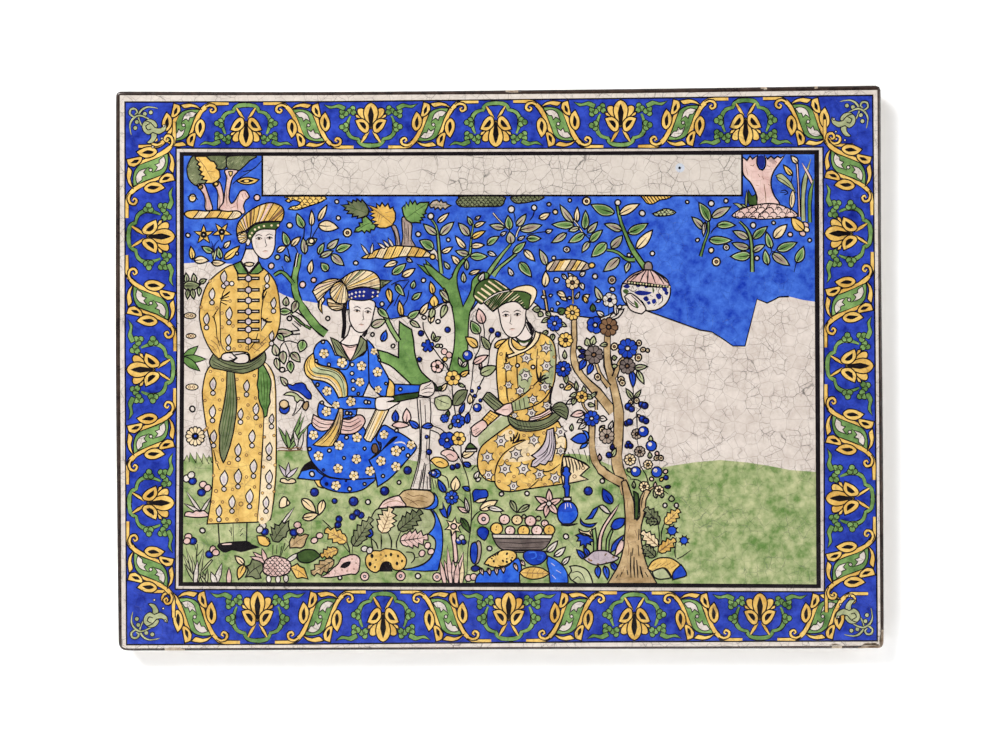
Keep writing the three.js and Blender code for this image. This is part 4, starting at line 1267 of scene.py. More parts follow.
centreTree = (
    ("green", "448,374! 451,362 453.7,350 454.8,336 454.5,323 452,308 448,298 443.5,289 436,281 428,272 423.5,264! 430,265.5 437,271 "
              "444,276.5 449,279.5! 452,277 454.5,270 458,264 463,258.5! 466,260! 460,268 457,277 458,288 461,299 463,306.5! 467,299 "
              "471,290 472,281 477,275 483,272 489,274 486,281 480,287 477,296 474,304 470,312 468.4,325 468,340 467.5,352 469,374!"),
)
kneelingRobe = (
    ("sage", "480,447! 478,438 488,427 500,417.5 508,416 511,425! 498,433", None),
    ("ochre", "510,424.5! 500,431.5 488,440.5 480.5,448 477.7,458 478,468 482,476 488,480.7 494.5,481.5! 496.5,486.5 502,490.6 512,491.6 "
              "524,489.6 540,487.2 554,485.4 563,484! 561,472 563,457 566.3,449 566.4,440 563,430 558.5,421.5! 535,424"),
    ("cream", "516,445 530,440 541,447 536,457 525,461 512,462 503,458/555,434 563,432 565,444 560,455 554,452/500,436 509,429 515,433 "
              "508,441 499,443", None),
    ("line", "526,440 515,445.5 505,452.5 498,462 494.8,474 495.3,482/528,489 534,484.5 539,479.5/531,466 543,471.5 552,470 560,464", 1.5),
    ("line", "512,441 516,437 518,432/513,443 514,437 513.5,434/514,443.5 518.5,439 519.5,433.5/511,442 511,438 510,437/512,443.5 521,440.5 "
             "525,439.5", 2),
    ("ochre", "510,336.5! 504,342 499,347.5 497,355 496.3,365 496.8,380 498.3,395 500,404 508,417 520,428 540,428 552,418! 550.5,400 552,390 "
              "554.7,380 556,362 555.8,352 553.7,343 549,337 540,332.3! 526,346"),
    ("yellow", "498,356 504,344 511,341 509,354 505,362 504.5,380 506,398 501,398 497.5,380/543,335 551,341 549,347 541,345", None),
    ("sage", "549,340 554.5,350 554.5,370 551,388 544,384 549,372 550,357/519,372 526,368 532,376 528,390 521,394 518.5,384/"
             "541,378 548,372 551,382 546,388", None),
    ("ochre", "538,381! 528,391 520,397.3 511.8,402.6! 512.5,411! 521,409.5 531,407 541,402 548,394.5 551.5,387!"),
    ("sage", "512.3,403! 520,398.8 527.5,394.8! 530,406.5! 521,409.3 512.8,410.8!", None),
    ("line", "505.6,357 506,375 507,395 508.6,402/516.6,355 517.2,375 518.8,397/537.7,349 536.7,362 536.6,374 538.2,381.5/"
             "515,402 516,410/519,399.5 520.5,409/523.5,398 525,408/551.5,388 549.5,398 550.5,407", 1.5),
    ("line", "506.5,352 506,358 507,362/508,354 505,360/538,381 537.3,374/538.5,381 541,374.5 540.8,372/539,381.5 543,376 546,375/"
             "539,382 545,378.5 549,377.5/539,381 536.8,371", 2),
    ("yellow", "481.8,419.6! 490.4,410.4! 499.4,415.6! 487.6,426!"),
    ("line", "484,417.5 492,422.5/486.5,415 495,420/488.5,412.5 497,417.5/485,422 492,414/488,425 496,415", 0.8),
    ("greyGreen", "482.5,398.6! 487,392.4 490,392.5 497,398.5 503,404.5 507,407.4! 502,409.8 494.5,410.4! 488,404.5"),
    ("line", "484,396.5 492,403 500,409/486,394.5 494,401 503,408/488.5,393.5 496,399.5 505,407/483.5,400 490,406", 0.9),
)
kneelingFront = (
    ("greyGreen", "508,415.5! 508.6,421 513,427 521,430.8 533,431 545,428.4 556,422 563,413.5! 556,411.5 548,417.5 538,421 527,421.5 516,419.5"),
    ("line", "510,419 517,424.5 528,427 540,426 552,420.5 560,414/509,422 517,428 530,429.5 546,426 557,419", 0.9),
    ("pink", "529,421.2! 540,418.8 552.5,412.4! 549.5,408.6! 540,414.2 530,417.4!"),
    ("line", "530,419 541,416.5 551,410.5/516,418 519,427/519,418 522,429/522,419 525,429/525,420 528,429/528,420 531,428", 0.9),
    ("greyGreen", "551.5,409! 554.5,404.5 560.5,402 566,405 568.5,412 566.5,419.5! 561,416.5 556,413"),
    ("line", "552.5,409.5 559,406 565,408/553,410 560,409.5 567,413/553.5,410.5 560,412.5 566,417/553,408.5 558,403.5", 0.9),
    ("mauve", "547,430! 553.5,428! 555.5,440 555,450 552,461! 548,461.5! 545,465 540,463.5! 536,466.8 531,466.5! 532.5,461 536,458.5! "
              "531.5,455.6! 539,450 545,441"),
    ("line", "549,431 549.5,442 545,452 537,457/551,430 552,442 549,454 541,462/553,430 554,442 552,455 548,461/546,436 543,444 536,452/"
             "550,440 547,452 541,458 534,464", 0.9),
    ("pink", "499.5,408.5 505,404.3 511.5,402.8! 513,411.4! 507.5,416 501.5,414.8 495,411.5"),
    ("pink", "483.2,420 487.6,425.8 482,431.5 476,436.8 472,434.5! 470.8,428! 476,423.5"),
    ("line", "473,431 479,428/475,434.5 481,430/502,410 508,409", 0.9),
    ("skin", "516,326! 514,334 517,339 524,341.5 531,338 534,330! 528,322"),
    ("darkGreen", "516.5,337.5! 520,340.4 526,340.8 532.5,337.5! 529,343.5 523.5,346 518.5,343"),
    ("skin", "519.5,342.3 524,343.5 528.5,341.8 526,345.4 522,345.6", None),
    ("cream", "512,336! 511.4,342 514,347.3 518.5,350 524.5,348.8 530.5,343.5 534.3,337 535.3,331.3! 540.3,333.4! 538,340.3 532,347.3 "
              "524,352.2 515,355.8 508,358.3! 507.6,355! 514,352.8! 509.6,347 508.6,341.5 509.6,336.6!"),
    ("line", "517,303! 524,310 528,320 533,330 531.5,336! 527.5,330 523,321 519.5,312", None),
    ("white", "521,308 524,315 527,322/523.5,318 527,326 530,332", 0.9),
)
kneelingTurban = {
    "ball": "474,292 476,286 481,281 488,278.8 496,280 503,284.5 510,289.5! 498,292 490,296.5 484,302 481,304 477,301 474,297",
    "lower": "484,303! 490,309 493,311.5! 499,307 505,303.3 514,301.4 520,304 524,308.5 528,309.5! 532,303 534.5,297 533,293 525,290.5 "
             "511,291 500,293 490,297.5",
    "roll": "509.5,291! 516,287.3 525,285.2 532,286 536.3,289.5 536.3,296 533,303 529,308.5! 530,300 531,295.5 525,292 517,291",
}
kneeling = {
    "stars": "546,348 526.5,358 546.5,366 525.5,375.5 507.8,367:5 545,387 508.5,385:4.4 520,391:5 533,399.5:5.2 547,405.5:5 531.5,413:5.6 "
             "514.5,415.5:3.6 560.5,432:6.2 501,441:6.8 534,440 487.5,457:6.6 516,454:6.6 505,469:6.8 523.5,469:6.8 488.5,475:5.4 "
             "539.5,474.5 555,478:6.2 513.5,486:5.4 560.8,451:5",
    "rings": "501,354:2 511,349 535,347 532,387:2.1 501,388 512,399.5 538,357 554,357 510.5,432.5:2.1 524,435.5 544,433 501,454 "
             "528,454.5:2.1 507,460.5 514,476.5 499,481.5 551,464 529,485 545,484.5 556,443 540,479",
    "pearls": "517.5,365.5:1.6 533,367:1.6",
}
rosePlants = {
    "branches": {},
    "twigs": ["430,344 436,352 441,359 447,365 449,374", "483,323 484.5,332 484,339", "491.5,333 489,338 489.5,349 488.5,362 484,377 "
              "479,387 475,398 471,408 468,416", "496,336.5 492,342 490,350", "479.5,333 480,345 478,352 475,357 473,368 472,380 470,392",
              "452,386 453,400 455,411 456,418", "430,310 436,308 444,302.5 450,303 453,308", "465,385 466,395 462,404",
              "452,447 459,457 464,468 468,480 470.3,495 471.5,512 470.5,530 468,548 466.5,583", "461,446 461.5,458 464.5,467",
              "441,475 447,478 449,488", "458,498 464,503 468,510", "471,522 475,515 480,511 485,507", "489,508 498,509.5 503,516",
              "470,431 470.5,442 466,449", "430,430 438,433 444,440", "471.5,470 475,466 479,467", "430,425 441,429 446,434"],
    "leaves": {
        "green": "479.6,333.5>471,321:9.5", "greyGreen": "489.5,349.5>481.3,336.5:7 449.5,429>451.5,423.5:4 510.5,500.5>516.5,512.5:5.5 "
                 "529.5,505>517.5,512.5:5.5 440,345>435,347:3.5 433.8,341>433,332:4.6 434,341>440.5,337:4.6",
        "ochre": "477.3,347.5>465.6,337:8.5 446.3,303.5>444,288:6.5 460.5,376>469,370.5:5.5", "yellow": "494.5,347.5>507.5,339.2:7.5",
        "pink": "483,323.5>478.6,308.6:9.5 473,363.6>488,355.3:7 468.5,512>457.5,507:5",
        "leafCream": "462,456.5>474.6,452:7.5 480,509.5>497.5,500.5:9 454.3,491>456,476.5:9.5 440.5,391>447,383:5 469.8,404>470,393.5:5.5",
        "sage": "446,304.5>441,318:6.5 433.5,308>430.5,319:6.5 480.5,374>496.5,366.5:10",
        "cobalt": "459.6,414>464.5,403:4.6 445.6,492.5>438,479.5:6.5 467,423.5>468.5,412.5:6 471,466>463,462.6:5.5 470,490.5>462.5,487:5",
        "robeBlue": "441,474>428.5,473:9",
        "white": "468.5,512.5>465,497.5:4.4 462,366.6>458.6,357.6:4.4 462,367>467,361:4.4 488,507.6>503.5,511:5.4 547,552>557.6,541:6.4 "
                 "554,556.5>565.5,547:6.4 562,565>570,556.5:5.4 479,281>484,272.6:6 475,479>479,471:5 476,481>481,478:4",
        "leafTaupe": "464,282.6>463.2,272:5.4 467,270>466.5,259:5 458,383.5>465,387:3.6 440,290>449,302:6",
        "darkGreen": "447.5,417>448.5,410.5:4.4 461,518>470,533:6.5 436,391>433,382:4 437,391>442,386:4 434,388>430,385:4",
    },
    "dots": {"white": "438,321.5:1.9 493,429.5:2 501.5,494:2 527,493.5:2 566,536.5:2.4 489.5,548.5:2.2 441,346:1.4"},
}
fruits = {"pink": "504.5,519.5:5.3 530.5,521:5.6 544.8,523.4:3.6 510,530.6:5 537,530.4:5.5", "leafCream": "517,520:5.3",
          "yellow": "496.6,528.6:6.2 523.6,531:6 549.2,530:5.7", "sage": "524,516.6:2 538.4,518.6:2.6"}


def drawKneeling():
    paintLayers(kneelingRobe)
    stars(kneeling["stars"])
    rings(kneeling["rings"])
    spots(kneeling["pearls"], "white")
    paintLayers(kneelingFront)
    face(513 + 319.5j, 36, 4, -1)
    for name, focus, count, spread, paints in (
        ("lower", 470 + 330j, 22, (10, 60), ("darkGreen", "cream", "sage")),
    ):
        drawTurban(kneelingTurban[name], focus, count, paints, spread)
    ball = fill("darkGreen", curve(kneelingTurban["ball"], closed=True), 1.5)
    clips.append(ball)
    for k in range(6):
        start = 492 + 277.5j + (-3.6 + 3.6j) * k
        stroke(curve([start, start + 7 + 5j, start + 15 + 11j]), 1.9, (0.8, 0.9), "cream")
    clips.pop()
    fill("cream", curve(kneelingTurban["roll"], closed=True), 1.4)
    strokes("483,302.6 490,297.4 499,292.8 510,290.6", 2.2)
    strokes("484,302.2 490,297.4 499,292.8 509,290.8", 1, "white")


def drawRosePlants():
    paintRows(centreTree)
    drawPlant(rosePlants)
    for centre, radius, count, paint, core in (
        (452.7 + 378j, 7.6, 6, "yellow", "brown"), (458 + 421j, 6.8, 7, "cobalt", "white"), (447 + 440j, 8.4, 5, "cobalt", "white"),
        (458.6 + 438.6j, 7, 6, "yellow", "brown"), (451.7 + 497.6j, 6.8, 8, "cobalt", "white"), (444.6 + 418.4j, 4.2, 6, "cobalt", None),
        (437.3 + 366.5j, 6.2, 5, "pink", "brown"),
    ):
        petals(centre, radius, count, paint, core, chance.uniform(0, 90), 0.84, 0.2)
    pearls("447.6,329.8:2.8 491.6,330.4:2.6 498,334.4:2.7 475,396:1.7 479,388:1.6 472,391:1.5 480.5,400.5:1.6 452.5,467.4:2.6 457.5,466:2.6")
    pearls("467.6,355.4:5 477.3,407.6:4.2 434,473.6:3", "cobalt")
    ringFlowers("483.6,519:6")
    for spot in (444.3 + 351.6j, 449 + 355j):
        fill("pink", circle(spot, 3.2, 8), 1.2)
    fill("ochre", circle(445 + 359.2j, 2.4, 7), 1.2)
    paintRows((
        ("sage", "435,398! 441,396 447.5,396 451.5,400.5 450.5,407.5 445,410.3 438,409.6! 434.6,404"),
        ("greyGreen", "452.8,405! 453,398 457,391.5 463,389.6 467.6,390.3! 466,397 463,402.4 458,405.6"),
        ("line", "437,399 443,402 449,404/455,404 459,398 465,392/441,399 441,406", 0.9),
        ("pink", "440.8,454 443,450.6 450,449.6 456,452.5 458.3,457.6 455,461 449,460.6 445.5,456.6"),
        ("yellow", "430.6,460.6 434,457.4 441,457.6 447,461 448.3,465.6 443,468 437,466.6 433,463"),
        ("line", "446,456 450,454 454,457/436,463 440,461.5 444,464", 1),
        ("cobalt", "472.3,493.5 475,489.4 480,489.8 486,489.8 488,493.5 487,497.3 480,498.7 473.8,502! 473,497"),
        ("cream", "475,501.6! 479,499 486.6,498 484,501.5 478,503"),
        ("cobalt", "439.5,509.5! 443,516 447.6,518! 446,511 442.8,502.5! 443,509/447.8,518! 450.8,511 451,503.5! 447.5,509"),
        ("darkGreen", "465.6,448.4! 470,443 476.6,448!"),
        ("white", "465.5,449.6! 477,449! 476.6,451.6! 465.6,452!"),
        ("cobalt", "477,531 480,527.3 485,527.3 488.8,531 487.6,536 484.5,540.4 480,537.4 477.5,534.5"),
        ("taupe", "476,543 480,541.5 481.4,549 480.5,557 478,563 474,563"),
        ("cobalt", "470.6,548 472,543.5 475,542 477.3,546 477.5,553 476.6,560 474.5,564 471.6,561 470.3,555"),
        ("navy", "471,568 475,565.4 480,567.5 477,571 473,571"),
        ("pink", "450.6,532! 456,532! 456.6,545 458,560 454,562 453,547"),
    ))
    for base, tips, width, paint in (
        (451 + 584j, (444 + 560j, 447.5 + 547j), 5, "pink"), (456 + 584j, (452.6 + 560j, 463.5 + 552j, 458 + 562j), 5.5, "pink"),
        (461 + 584j, (463 + 559j,), 4.6, "cream"), (445 + 584j, (440 + 560j,), 4.6, "pink"),
    ):
        blades(base, tips, width, paint)
    starFlower(453.7 + 526.4j, 9.4, "cream", 6, 20, 0.5)
    dot(453.7 + 526.4j, 2.6, "pink")
    pearls("459,541:3.4", "cobalt")
    fill("white", circle(461.6 + 537.6j, 3, 8), 1.2)
    pearls("463.6,542:2.6")
    for spot in (468.4 + 578j, 473.6 + 577j):
        fill("pink", circle(spot, 3.6, 9), 1.3)
    # the daisy
    heart = 549 + 503.5j
    for tip in (549 + 489j, 535 + 496.5j, 561.5 + 498.5j, 536 + 510j, 545.5 + 517.5j, 558.5 + 514.5j):
        leaf(heart, tip, 6.6, "pink")
    fill("white", circle(heart, 2.6, 9), 1.3)


def drawBowl():
    # fruit in a low bowl
    for paint, text in fruits.items():
        for word in text.split():
            centre, _, radius = word.partition(":")
            centre = points(centre)[0]
            fill(paint, circle(centre, float(radius), 14, 0.94), 1.5)
            lay("brown", circle(centre - 0.6 + 1.2j, 0.9, 6))
            stroke([centre - 0.4 - 1j, centre + 0.5 - 3.4j], 0.8, (1, 0.4))
    paintRows((
        ("ash", "493,538! 496,544 500,548.4 504,550! 541,550! 546,547.4 551.6,538.4!"),
        ("white", "492,534.2! 553,534.8! 551.3,538.7! 493.4,538.3!"),
        ("line", "497,542 520,543.4 549,541.6/502,547 520,548 544,547", 0.8),
        ("white", "503,551 546,551 545,552.4 504,552.4"),
        ("robeBlue", "475,583! 476.6,576.5 482,571.5 488,571.5 495,570 502,568.4 509,565 514,560 518,558 520.4,562 521.5,569 519.5,575 520,583!"),
        ("robeBlue", "548,556! 556,560 563,566 567.5,574 568,583! 550,583! 549,572 546.8,563"),
        ("white", "551,563 555,566/556,570 561,573/552,575 556,579", 1),
        ("cobalt", "524,552.6 529,550.2 537,550.6 544,551.6 547,556 544.5,560.6 540,564 533,565.2 527,562 523.5,557.6"),
        ("robeBlue", "529,553 535,552.5 536,557 531,559/539,555 543,556 541,560 537,559", None),
        ("ochre", "519.5,572.6! 524,568.6 533,566.8 543,568.6 549.6,573.4! 543,577.6 533,579.3 524,577"),
        ("brown", "522,572.8 535,573.2 548,573.4/527,573 530,569/532,573 535,568/537,573 540,569/542,573 545,570.5/528,573.5 526,577/"
                  "533,573.5 532,578/538,573.5 538,578/543,573.5 543,577", 1),
    ))
    rock("484.3,563.8! 488,558.2 494,554.6 500,551 507,549.8 514,551.4 516.8,556 513,561.2 507,564.8 501,567.3 494,567.2 489,565.8", "ochre", 26)
    for base, tip in ((481 + 568j, 483 + 575j), (488 + 568j, 490 + 575.5j), (495.5 + 567j, 497 + 575j), (503 + 566j, 503.6 + 573j),
                      (514 + 563j, 517.6 + 571j), (521 + 560j, 525 + 566j)):
        leaf(base, tip, 4, "pink")


rosebush = {
    "branches": {
        "trunk": [("574,318 574.3,340 573.2,352 575,364 581,375 588,383 597,392 605,402 613,412", 5, 8.5),
                  ("607.5,334 607,350 608,365 611.5,378 615,392 618,406 619,420 618,440 616.5,455 618,468 623,482 626.5,494", 6.5, 11),
                  ("626,357 621.5,360 618,367 614.5,377", 3, 4.4), ("596,363 599.5,373 603.5,380 609,387", 2.6, 4.6),
                  ("592,425 591.8,440 593,454 597,464.5 604,472.5 613,478.5 622,483", 5.4, 9),
                  ("566,381 572,384 577.5,391", 1.6, 2.4), ("582.5,402 584,407 588,412", 1.6, 2), ("596,400 596.3,410", 2.2, 2.2),
                  ("572.7,289 573,304", 1.2, 1.2), ("543.5,290 545.5,300 548,316", 2, 2.2), ("648,493 650,489.5 654,487", 2, 1.4)],
    },
    "twigs": ["609,306 608.5,316", "636.5,412 637,421 637.2,429", "637,440 638.5,447", "638.5,457 640.5,466 645.5,474 648.5,485 646,492",
              "630,479 638,480 643,484", "633,386 633.5,398 634,406", "637,416 631,421", "637,412 641,408", "555,331 560,336",
              "640,468 643,466", "652,461 656,460", "631,478 626,474", "663,490 668,494", "545,318 541,322", "562,335 558,345 560,360"],
    "leaves": {
        "leafTaupe": "602,300>595.2,286.5:6.5 634,368.4>647.5,366.6:5.6 597,392>588,398:4 571.5,431>572,424:4",
        "white": "575,280.5>568,273:5 562,274>567,280:4 580,276>585.5,272:5 580.5,283>583.5,290:5.4 575.5,299>579.5,292:4 "
                 "604,316>596.5,311:5.5 609.5,318.4>624,309:6.5 616.5,315>614.5,303.5:5 622,306>617,308:4 600.6,300.5>595.6,302:3 "
                 "575,399.5>566,404:5 583,419.5>577,422.6:4 599.5,418>607,419.6:6 586,423.5>578.5,429:5 609,429>612.6,421:4.6 "
                 "553.6,281>559.6,279:6 541,297>546.5,297:3.4 549,296>552.5,295:3 556,303>560,303.6:4 551,308>553,311:3",
        "leafCream": "560,295>567,301:5 582.5,300>589.5,294.5:6 600,430>604.6,425.5:5 544.5,287>545.6,271:7.5 557,292>566,297:6",
        "ochre": "587,303>583.5,296:4.6 572,385>564,389.6:5.6 660,481>663.5,477.5:3.6",
        "pink": "584.5,412.6>570.6,415.8:7 600,461>599.5,454:4 641,418>637.5,414.5:3 655,488>655.5,482:3.6",
        "sage": "589,346>586.5,338:7 592,345>594,336:6.5 637,370.5>644,384:5.6 612,457>616,448:5 634,488.6>634,481:3.6 651,441.5>650.8,435.6:4.4 "
                "650,458.5>649.6,452:4.4 671.5,501.5>671.5,495.5:6 656.5,498>653.6,490.6:4.6 662,498>661,490:4.4",
        "greyGreen": "565,359>564.6,350.5:4.4 577,391>576,381:4 584,394>583.6,386:4.6 577,393>569.6,396.4:4.4 575,398>572.5,405:5 "
                     "586,395>592.5,398.6:5 588,404>595,405.6:4.4 633,399>626,388.6:5 634.5,398.5>641,390:4 540.5,309>532.5,309.5:7 "
                     "542,312>538.5,316.5:6 549,318>541.5,322.5:4.6 548,331>541.5,335.5:4.6 553,334>552,341:5 560,323>566.5,326.5:4.4 "
                     "607.5,344>600,345.5:4.6 612,358>617,357.4:5 612,366.6>617.6,365.6:4.6 562.5,347>561,338:5 546,312>551,316:4.4 "
                     "566,375>566.5,384:5 577,348>582,347.5:3.4",
        "cobalt": "585.5,359.5>579.6,370:7 592,363.6>587.6,374.6:6.5 631,370.5>633,387.5:6.4 612,503.6>602.8,488.6:9.4 598,566>598.6,578:6 "
                  "604.5,566>607.5,579.6:6 611.5,562.5>617,571.5:6.5 584.5,559>576.6,549.6:5.5 589.5,557>583.6,547:5",
        "navy": "586,352>579,350.5:5 585.5,356>578,357:4.6 670.5,486.6>664.5,487:3.4 611.6,450>612.6,443.6:4.4",
        "darkGreen": "593,312>592.6,303.6:6 558,313>565.5,309:8",
    },
    "dots": {"white": "595,276.4:2.3 612.3,289.4:2.2 602.3,481:2 569.5,298:1.4 665,505.4:2 676.4,505.4:2 629,282:0.8 561.8,386:1.6",
             "sage": "629,470:1.8", "pink": "665.5,471.5:2 657,453.5:1.8 651.6,479:1.8"},
    "rings": {"cream": "639,343:2.6 643,349.6:2.2 638.4,357.6:3.4 621,379.6:3 622.4,383:2.6 614.3,346.6:3.4 597.6,377:3.2 656.6,458:2.4 "
                       "661,458:2.4 636.6,400.6:2.6 630.6,402.6:2.2 647.6,350.5:1.6 602,430:2.6", "leafTaupe": "612,280:3.8"},
}
bushFlowers = (
    # centre, radius, petals, paint, core
    (572.4 + 282.6j, 7, 7, "leafCream", "brown"), (572.4 + 312.6j, 7.6, 9, "yellow", "cream"), (565.6 + 340j, 7.4, 8, "yellow", "brown"),
    (554.6 + 323.4j, 7.8, 8, "cobalt", "white"), (563 + 369j, 7.9, 9, "cobalt", "pink"), (595.2 + 325j, 8.6, 5, "cobalt", "white"),
    (608.6 + 327j, 9.4, 8, "brown", "brown"), (609.8 + 300j, 7.4, 6, "white", "navy"), (627.6 + 348.4j, 9.8, 9, "cobalt", "white"),
    (593.8 + 354.8j, 9.2, 8, "ash", "brown"), (627.2 + 366j, 8, 8, "ash", "brown"), (606.8 + 436.2j, 7.6, 8, "leafTaupe", "brown"),
    (591.6 + 418.4j, 7.8, 8, "cobalt", "white"), (581.6 + 396.8j, 6, 7, "yellow", "brown"), (636.6 + 434j, 5.2, 8, "leafTaupe", "brown"),
    (639.8 + 451.6j, 5.4, 8, "leafTaupe", "brown"), (630 + 459.6j, 5.8, 8, "cream", "ochre"), (648 + 464.6j, 4.6, 7, "cream", "ochre"),
    (644.2 + 486.6j, 5.2, 8, "leafCream", "brown"), (659 + 490.4j, 4.8, 7, "cream", "brown"),
)
bushBerries = {
    "cobalt": "643.4,431.6:5.2 651.3,445.8:5.4 635.8,471.6:5.1 656.8,472:5.4",
    "navy": "628.4,406.6:3.6 631.6,409:3 641.6,404.6:3 644.8,405.6:3.4 626.8,423.4:2.8 629.6,422:3.2 642.4,419:3.4 646,421:3 628.4,443.4:2.4 "
            "627,446:2.2 630.6,446:2.6 666,477.6:2.4 588.2,491:4.3 609,455:3",
}
lowerRocks = (
    ("cream", "560,457! 568,456 577,459.6 585,463 589.4,467.2! 584,472 580.4,475.6! 588,479.4! 578,481.6 570,483.2 560,484.4!"),
    ("line", "562,458 563,466 562,474/565,457 567,466 566,475/568,457.5 570,465 570,472/571,458.5 573,466 573.5,473/574,459.5 576.5,466 "
             "577,471/577.5,460.5 580,466 579,470/581,462 583,466 582,469/560,457.5 570,457 580,461.4 588,466", 1.5),
    ("trunk", "621.5,482! 624,500 625.3,518 624.3,540 621.5,556 616.5,569 607.5,583.5! 657,583.5! 649,570 644.5,557 641.3,541 641.3,526 "
              "645.4,509 646,500 650.5,491.5! 646,489.5 641,496 639.5,505 639.8,516 637,520! 634.5,515 634,502 629.5,489! 626,480"),
    ("darkGreen", "633.6,491.5! 638,494 638.7,505 637.8,519! 634.6,519! 634.7,505"),
    ("line", "631,552 630.5,565 631,578/634,557 634,568 635,578/636.6,560 637.5,570 638,578/627,570 628,575/640,566 641.5,573 643,578/"
             "633,548 632,556/638,545 639,556/645,572 648,577/622,572 620,577/618,575 616,578/639,529 638.6,540", 1.6),
    ("brown", "627,540 629,548 628,556/630,525 628,532/635,530 637,536/632,506 633,514/625,566 622,574/628,500 627,508", 1),
    ("cobalt", "566.3,466 569,468 569,471.5! 571,473.5 569,476.5! 568.6,484! 570,486 569.6,488.6! 569,497! 565,497! 564.6,489! 562.8,486.4 "
               "564.3,484! 564.6,476.6! 561.6,473.6 563.6,471.3! 563.4,468"),
    ("white", "563.4,497.4! 571,497.2! 571.2,500.6! 563,500.8!"),
    ("cobalt", "567,501.2! 573,503 577,508.5 577.6,515 575,520.5 570.5,523.8! 562.5,524! 558.6,520 557.3,513 558.6,507 562,503"),
    ("robeBlue", "558.4,511.5 567,512.5 576.8,511 576.6,516.5 573,521 567,523 561,521 558.6,516.5", None),
    ("white", "565.6,503.5 565.2,509/570,503.5 571.3,508/567.6,503 567.8,507", 1.2),
    ("line", "561,524.8 568,525.4 577.6,523.6", 2.4),
    ("cobalt", "571,439.3! 576,435.2 582,433.2 587.4,436.4 586.4,442 580,443.7 575,442.2"),
    ("robeBlue", "582.6,430.5! 587,431.6 589.3,437 587.4,442! 586.3,436.4"),
    ("robeBlue", "588,443! 585.6,447 580,448.8! 582,444.6"),
    ("cobalt", "585.6,519.6! 590,515 593,509.6 598.6,506.4! 596.3,512 592.5,518.4!"),
    ("cobalt", "580.4,518.6! 583.6,523 590,524.2 596.8,522.8! 592,527 584.6,526.2 580.6,523"),
    ("cream", "579,529! 580,532.5 587,534.4 593,537.6! 590,532.5 592,528.6! 588,531.5 583,531.3"),
    ("cobalt", "575.6,535.3! 580,533.8 584,535.5 588,535.8 591,538.5 594.6,541.3! 590,542 591,545! 587,543.6 586,548! 583,544.4 580,546! "
               "580.5,541 577,541! 578.6,537.8"),
    ("cobalt", "610.8,526.6! 614,520.4 620,518 625.3,518.6! 623.4,525 618,529 613,529.4"),
    ("cobalt", "610.6,552.6! 612,545.6 616.4,540 623.6,535! 620.6,543 616.4,549"),
    ("pink", "614.6,557! 616.4,548 621,539.6 624,541 622.6,550"),
    ("white", "599,506! 602.5,505 607,508 611,514! 606,513 601,509"),
    ("pink", "597.6,551! 598.6,537 603.6,524.6 612.6,511.6 619.6,503.4! 615,513 606.4,526 602,538 601.3,551!"),
    ("stem", "606,551! 606.6,539 611.4,529! 613,531! 609.4,541 609,551!"),
    ("stem", "593.6,551! 593.6,542 592,530! 595.4,528! 597,540 597,551!"),
    ("sage", "569.8,566.4! 575,565.6 581,566.8 587,570 591,577 593,584! 578,584! 571,579.6 569,574.6 571.6,571"),
    ("line", "571.6,573 577,571.4 582,574 585.4,582/573,580 578,576.6 581,580", 1),
    ("ochre", "647.6,568.6! 651.6,562 658,558.4 665,557.6 672,558.8 679,563.4 685,571.4! 681,576 676,578.6 672,577.6! 668.6,571.6 664.5,568 "
              "658,569 652,571.4"),
    ("sage", "652.4,571.6! 658,569.2 664.4,568.4 671.4,577.8! 661,579.4 654,577"),
    ("cobalt", "681,564.6! 685,570 686.4,575.4 681,577.6 672.8,579.8! 672.6,574 676,569"),
    ("brown", "652,566 656,563/656,567 661,563/660,566.5 666,562/665,566 671,562.6/671,568 676,565", 1),
    ("line", "658,524 659.4,535 658.4,548 656.6,557/665,522 661.5,532 661,545/676.3,537 674.8,552 676,558/677,559 683,556 691,550/"
             "643,530 647,535/645,492 642,500 641.6,508", 1.3),
)
jarShapes = (
    # the lidded jar
    ("white", "622.6,283! 620.8,290 622,297.6 626,304 634,308.6 645,310.6 656,310 664.6,305 669.4,297.6 670.6,289.6 669.8,285.4! 646,284.4"),
    ("navy", "623,286.4 627,284.2 630,286.6 627,288.6/635,284.6 638.5,283 641,285.4 638,287.4/643.6,285.6 646.8,284.6 648.6,287.4 645.4,288.4/"
             "634,292.4 640,290.4 648,291.6 652,292.6 647,295 639,295.2/661.6,287.4 665.6,286.4 667.6,290.6 664,291.6/664.6,291 668.6,292 "
             "667,295.4 664.4,294/643,298.4 646.4,296 649,299.4 646,301.6/646.6,302 649.6,300.8 651,303.6 648,305/651.6,300.4 655,298.6 656.4,302 "
             "653.2,304/655.6,294.6 659.6,293.6 661.4,297.6 658,299.4", None),
    ("darkGreen", "622.6,291 626,288.8 629,291.4 626,294.2/652.4,287 654.6,290.6 653,293.6/648.6,288 650,291", None),
    ("line", "629,289 633,291.6 637,289.4/660,288 658,292 662,296 662.4,301 658,305/654,306 657,302/641,300 644,304 643,308/650,295 653,297/"
             "632,286 634,289/656,286 657,290", 0.9),
    ("pink", "644.4,269.4! 636,272.4 629,276.6 624.4,281.4 623,283.6! 634,284.4 650,286.2 669.6,286.8! 667.4,280 661,274.8 652,269.8!"),
    ("line", "645,270 638,274.6 631,281/646.4,270 642.6,276 640,282.6/648.2,270 647.8,277 647.4,283.6/650,270 653,276.6 655.6,283.6/651.6,269.6 "
             "658,275 664,284/643,271.6 634,275.4 627,281/652,270.6 661,276 667.6,283", 1.5),
    ("line", "626.6,281.6 637,283.2 648,285 659,286.2 669.8,286.8", 4.2),
    ("taupe", "644.2,269.8! 644.2,265 646,262.2 648.6,261.4 651.2,262.8 652.4,266 652,270!"),
)


